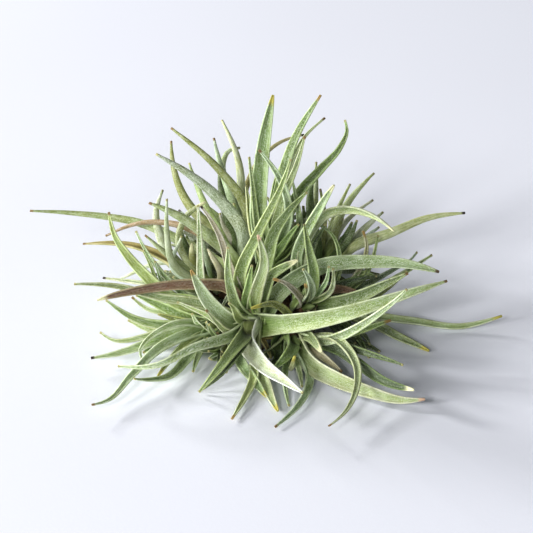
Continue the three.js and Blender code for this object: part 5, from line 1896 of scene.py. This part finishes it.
@dataclass
class Rosette:
    """One rosette: its stem, its leaves, the youngest at its heart and the dry ones under them.

    Args:
        clump: the grown plant.
        head: the rosette's stem and heart.
        skin: how its leaves are skinned.
        seed: of its draws.
    """

    clump: Clump
    head: Head
    skin: LeafSkin
    seed: int
    stem_rows: int = 36
    stem_sides: int = 20
    ridge: float = 0.09  # of the radius, that the leaf scars stand out
    slim: float = 0.62  # of the solid's radius, which stands for the leaves' bases too
    scar_height: float = 1.6  # mm of stem from one scar to the next
    scar_windings: float = 2.0
    spindle: tuple[Pair, ...] = ((9.0, 1.0), (6.0, 1.4), (3.5, 1.4), (2.0, 1.0), (0.5, 0.15))
    bare_swell: float = 1.9  # of the spindle's radius, where no short leaves stand in the heart
    spindle_rows: int = 16
    spindle_sides: int = 24
    ribs: int = 3
    rib_depth: float = 0.14  # of the radius
    rib_twist: float = 0.4  # radians to the mm
    spindle_kind: Place = (0.4, 1.0, 0.4)  # shares of a leaf's own place across, face and silver
    lowest: float = 0.05

    @property
    def name(self) -> str:
        """The rosette's name."""
        return self.head.spec.name

    @property
    def node(self) -> str:
        """The solid that it stands for."""
        return f"{self.name}_rosette"

    def leaves(self) -> Patch:
        """All its leaves' skins as one patch.

        Returns:
            The patch.
        """
        rng = np.random.default_rng(self.seed)
        blades = [blade for blade in self.clump.blades if blade.head is self.head]
        for kind in Small:
            if kind is not Small.YOUNG or not self.head.spec.bare:
                blades.extend(small_leaves(self.clump, self.head, kind, rng))
        return joined([self.sheath(rng), *(self.skin.dress(blade, rng) for blade in blades)])

    def sheath(self, rng: np.random.Generator) -> Patch:
        """The innermost leaves' bases, grown together: a ribbed green spindle round the stem's top.

        The radius runs through the spindle's profile, less a share by the square of a cosine of the turn.

        Args:
            rng: the seeded draws.

        Returns:
            The patch, with what the leaf's finish reads.
        """
        size = self.head.size
        below, radii = np.array(self.spindle).T * size
        radii = radii * (self.bare_swell if self.head.spec.bare else 1.0)
        depth = np.linspace(below[0], below[-1], self.spindle_rows)[:, None]
        turn = turns(self.spindle_sides)[None, :]
        rib = self.rib_depth * np.cos(self.ribs * turn + self.rib_twist * depth) ** 2
        radius = np.interp(-depth, -below, radii) * (1 - rib)
        east, north = self.head.compass
        spoke = spokes(turn, east, north)
        rings = self.head.heart - self.head.axis * depth[..., None] + spoke * radius[..., None]
        rings = above_floor(rings, self.lowest)
        blade = Blade(self.head, rings[:, 0], 2.0, east, Tint.LIME, Tip.PLAIN)
        under = np.ones(radius.shape)
        share = np.linspace(0.0, 0.5, len(depth))
        reach = np.broadcast_to(np.cos(turn) * 0.5, radius.shape)
        found = self.skin.carried(blade, rng, share, reach, under)
        found["leaf_kind"] = found["leaf_kind"] * np.array(self.spindle_kind)
        return closed_tube(rings[:, ::-1], {name: values[:, ::-1] for name, values in found.items()})

    def stem(self) -> Patch:
        """The stem: rings round its axis.

        The radius runs through the solid's profile, and a saw of leaf scars that wind up the stem stands
        out of it by a share of the radius.

        Returns:
            The patch.
        """
        size, length = self.head.size, self.head.stem_length
        swell = [(length - below * size, r * size) for below, r in STEM.swell]
        profile = [(0.0, STEM.foot_radius * size), *swell[:-2]]
        heights, radii = np.array(profile).T
        height = np.linspace(0.0, heights[-1], self.stem_rows)[:, None]
        turn = turns(self.stem_sides)[None, :]
        winding = (height / self.scar_height + turn / (2 * math.pi) * self.scar_windings) % 1.0
        radius = np.interp(height, heights, radii) * self.slim * (1 - self.ridge * winding)
        spoke = spokes(turn, *self.head.compass)
        rings = self.head.foot + self.head.axis * height[..., None] + spoke * radius[..., None]
        return closed_tube(above_floor(rings, self.lowest)[:, ::-1])

    def build(self, leaf: Material, bark: Material) -> None:
        """Makes the rosette's two pieces."""
        mesh_piece(f"{self.name}_leaves", self.leaves(), leaf, self.node)
        mesh_piece(f"{self.name}_stem", self.stem(), bark, self.node)


@dataclass
class RootCrown:
    """The woody crown and the wiry roots that come out from under it.

    Args:
        clump: the grown plant.
    """

    clump: Clump
    rows: int = 60
    columns: int = 96
    lump: float = 0.05  # of the radius
    ends: Pair = (0.02, 0.985)  # of the profile, between which its rings lie
    root_rows: int = 48
    root_sides: int = 8
    root_thinning: float = 0.6
    root_knots: Pair = (0.12, 40.0)  # their height as a share of the radius, and radians of sine
    hair_count: int = 44
    hair_radius: float = 0.13
    hair_rows: int = 18
    hair_sides: int = 5
    hair_lengths: Pair = (5.0, 15.0)
    hair_heights: Pair = (1.0, 5.0)  # at its start, above its end
    hair_start: float = 6.0  # off the crown's middle
    hair_end: float = 0.2  # above the surface
    lowest: float = 0.01
    seed: int = 771

    def body(self) -> Patch:
        """The crown's lump.

        The radius runs through the solid's profile by height, less a share that a sum of sines over the
        height and the turn gives. The underside stays flat.

        Returns:
            The patch.
        """
        radii, heights = np.array(CROWN.profile).T
        run = np.concatenate([[0.0], np.cumsum(np.hypot(np.diff(radii), np.diff(heights)))])
        along = np.linspace(*self.ends, self.rows) * run[-1]
        radius = np.interp(along, run, radii)[:, None]
        height = np.interp(along, run, heights)[:, None]
        turn = turns(self.columns)[None, :]
        waves = np.sin(7 * turn + 0.9 * height) + 0.7 * np.sin(13 * turn - 1.4 * height + 2.0)
        waves = waves + 0.5 * np.sin(23 * turn + 2.2 * height)
        radius = radius * (1 - self.lump * (1 + waves / 2.2) * smooth(0.0, 1.5, height))
        level = np.broadcast_to(height, radius.shape)
        rings = np.stack([radius * np.cos(turn), radius * np.sin(turn), level], axis=-1)
        return closed_tube(rings)

    def tube(self, path: Vec, radii: Vec, sides: int) -> Patch:
        """A closed tube along a path.

        Each ring stands square to the path, turned by the path's own side and up directions.

        Args:
            path: n x 3 points.
            radii: n radii.
            sides: how many sides it has.

        Returns:
            The patch.
        """
        ends = np.concatenate([path[:1], path, path[-1:]])
        along = unit(ends[2:] - ends[:-2])
        side = unit(cross(along, np.broadcast_to(UP, along.shape) + 0.01 * X_AXIS))
        above = cross(side, along)
        spoke = spokes(turns(sides)[None, :], side[:, None], above[:, None])
        rings = path[:, None] + spoke * radii[:, None, None]
        return closed_tube(above_floor(rings, self.lowest)[:, ::-1])

    def wiry_roots(self) -> list[Patch]:
        """The roots that the solid has, as knotty round tubes that thin to their ends.

        Returns:
            A patch for each.
        """
        share = np.linspace(0.0, 1.0, self.root_rows + 1)
        knot, knots = self.root_knots
        radii = ROOTS.radius * (1 - self.root_thinning * share) * (1 + knot * np.sin(knots * share))
        midlines = (midline_through(path, self.root_rows) for path in self.clump.roots)
        return [self.tube(midline, radii, self.root_sides) for midline in midlines]

    def hairs(self) -> list[Patch]:
        """Fine rootlets: each runs outwards from the crown's side, sinks to the surface and wanders.

        A rootlet's turn grows by a sine of its length, and its height falls as (1 - s)^2.

        Returns:
            A patch for each.
        """
        rng = np.random.default_rng(self.seed)
        share = np.linspace(0.0, 1.0, self.hair_rows + 1)
        found = []
        for _ in range(self.hair_count):
            length = rng.uniform(*self.hair_lengths)
            turn = rng.uniform(0, 2 * math.pi) + rng.uniform(0.1, 0.5) * np.sin(rng.uniform(2, 6) * share)
            reach = self.hair_start + length * share
            height = rng.uniform(*self.hair_heights) * (1 - share) ** 2 + self.hair_end
            path = np.stack([reach * np.cos(turn), reach * np.sin(turn), height], axis=-1)
            radii = self.hair_radius * (1 - 0.7 * share) * rng.uniform(0.8, 1.4)
            found.append(self.tube(path, radii, self.hair_sides))
        return found

    def build(self, bark: Material, root: Material) -> None:
        """Makes the crown's and the roots' pieces."""
        mesh_piece("crown_wood", self.body(), bark, "root_crown")
        mesh_piece("crown_roots", joined([*self.wiry_roots(), *self.hairs()]), root, "root_crown")


# ---- the studio ----


@dataclass(frozen=True)
class Lamp:
    """A soft square light.

    It hangs at an azimuth and an elevation in degrees, and lights the floor by a share of what turns
    white paper white.
    """

    name: str
    azimuth: float
    elevation: float
    share: float
    width: float = 0.42
    distance: float = 2.5
    colour: Colour = (1.0, 0.985, 0.96)

    @property
    def place(self) -> Vec:
        """Where it hangs, in metres."""
        turn, rise = math.radians(self.azimuth), math.radians(self.elevation)
        flat = math.cos(rise)
        return self.distance * np.array([flat * math.cos(turn), flat * math.sin(turn), math.sin(rise)])

    @property
    def watts(self) -> float:
        """Its power: share * pi^2 * distance^2 / sin(elevation)."""
        return self.share * math.pi**2 * self.distance**2 / math.sin(math.radians(self.elevation))


@dataclass(frozen=True)
class Studio:
    """A plain pale floor, soft light from the upper left and a camera at the photograph's angle."""

    lamps: tuple[Lamp, ...] = (
        Lamp("back_left_light", 130.0, 22.0, 0.22),
        Lamp("left_light", 170.0, 24.0, 0.28),
        Lamp("low_left_light", 216.0, 22.0, 0.21),
        Lamp("front_light", 246.0, 32.0, 0.22),
        Lamp("front_right_light", 280.0, 25.0, 0.06),
    )
    sky: Colour = (0.92, 0.95, 1.0)
    sky_strength: float = 0.13
    floor_colour: Colour = (234, 237, 247)
    floor_half: float = 3.0
    floor_clouds: float = 0.97  # their tone, as a share of the floor's
    gamma: float = 0.82  # of the picture, which gives it the photograph's contrast
    sensor: float = 36.0
    nearest: float = 0.01  # that the camera sees, in metres

    def floor(self) -> None:
        """Lays the floor: one square, a little uneven in tone."""
        nodes = Nodes("floor_paper")
        cloud = nodes.noise(nodes.place(), 3.0, 2.0)
        pale = linear(self.floor_colour)
        colour = nodes.mix(cloud.step(0.3, 0.7), tuple(pale), tuple(pale * self.floor_clouds))
        grain = nodes.noise(nodes.place(), 900.0, 2.0)
        material = nodes.finish(colour, 0.8, grain, 0.00002, {})
        h = self.floor_half
        mesh = bpy.data.meshes.new("floor")
        mesh.from_pydata([(-h, -h, 0), (h, -h, 0), (h, h, 0), (-h, h, 0)], [], [(0, 1, 2, 3)])
        mesh.materials.append(material)
        placed("floor", mesh)

    def light(self) -> None:
        """Hangs the lights, each aimed at the plant, and sets the sky."""
        for lamp in self.lamps:
            data = bpy.data.lights.new(lamp.name, "AREA")
            data.energy = lamp.watts
            data.size = lamp.width
            data.color = lamp.colour
            hung = placed(lamp.name, data)
            back = unit(lamp.place)
            right = unit(cross(UP, back))
            hung.matrix_world = pose(right, cross(back, right), back, lamp.place)
        world = bpy.data.worlds.new("sky")
        world.use_nodes = True
        sky = world.node_tree.nodes["Background"].inputs
        sky[0].default_value = (*self.sky, 1.0)
        sky[1].default_value = self.sky_strength
        bpy.context.scene.world = world
        view = bpy.context.scene.view_settings
        view.view_transform = "Standard"
        view.gamma = self.gamma

    def camera(self) -> None:
        """Sets the camera where the eye of the photograph is."""
        data = bpy.data.cameras.new("camera")
        data.sensor_width = self.sensor
        data.lens = self.sensor * SIGHT.distance / (SIGHT.frame_pixels * SIGHT.mm_per_pixel)
        data.clip_start = self.nearest
        camera = placed("camera", data)
        camera.matrix_world = pose(X_AXIS, SIGHT.upward, -SIGHT.ahead, SIGHT.eye * METRES)
        bpy.context.scene.camera = camera

    def build(self) -> None:
        """Sets up all three."""
        self.floor()
        self.light()
        self.camera()


def pose(right: Vec, above: Vec, back: Vec, place: Vec) -> Matrix:
    """The matrix of a thing that stands at a place with its axes along three directions."""
    rows = np.eye(4)
    rows[:3] = np.stack([right, above, back, place], axis=1)
    return Matrix(rows.tolist())


def main() -> None:
    """Grows the plant, dresses it and sets the studio up."""
    logging.basicConfig(level=logging.INFO, format="%(message)s")
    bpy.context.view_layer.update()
    clump = Clump()
    log.info("grown: %d leaves, %d roots", len(clump.blades), len(clump.roots))
    leaf = LeafFinish().material()
    bark = BarkFinish("crown_bark", (52, 38, 26), (126, 98, 70)).material()
    root = BarkFinish("root_wire", (58, 40, 28), (120, 90, 62), fibres=1400.0, relief=0.00015).material()
    RootCrown(clump).build(bark, root)
    skin = LeafSkin()
    for number, head in enumerate(clump.heads.values()):
        Rosette(clump, head, skin, 100 + number).build(leaf, bark)
    Studio().build()
    bpy.context.view_layer.update()


if __name__ == "__main__":
    main()
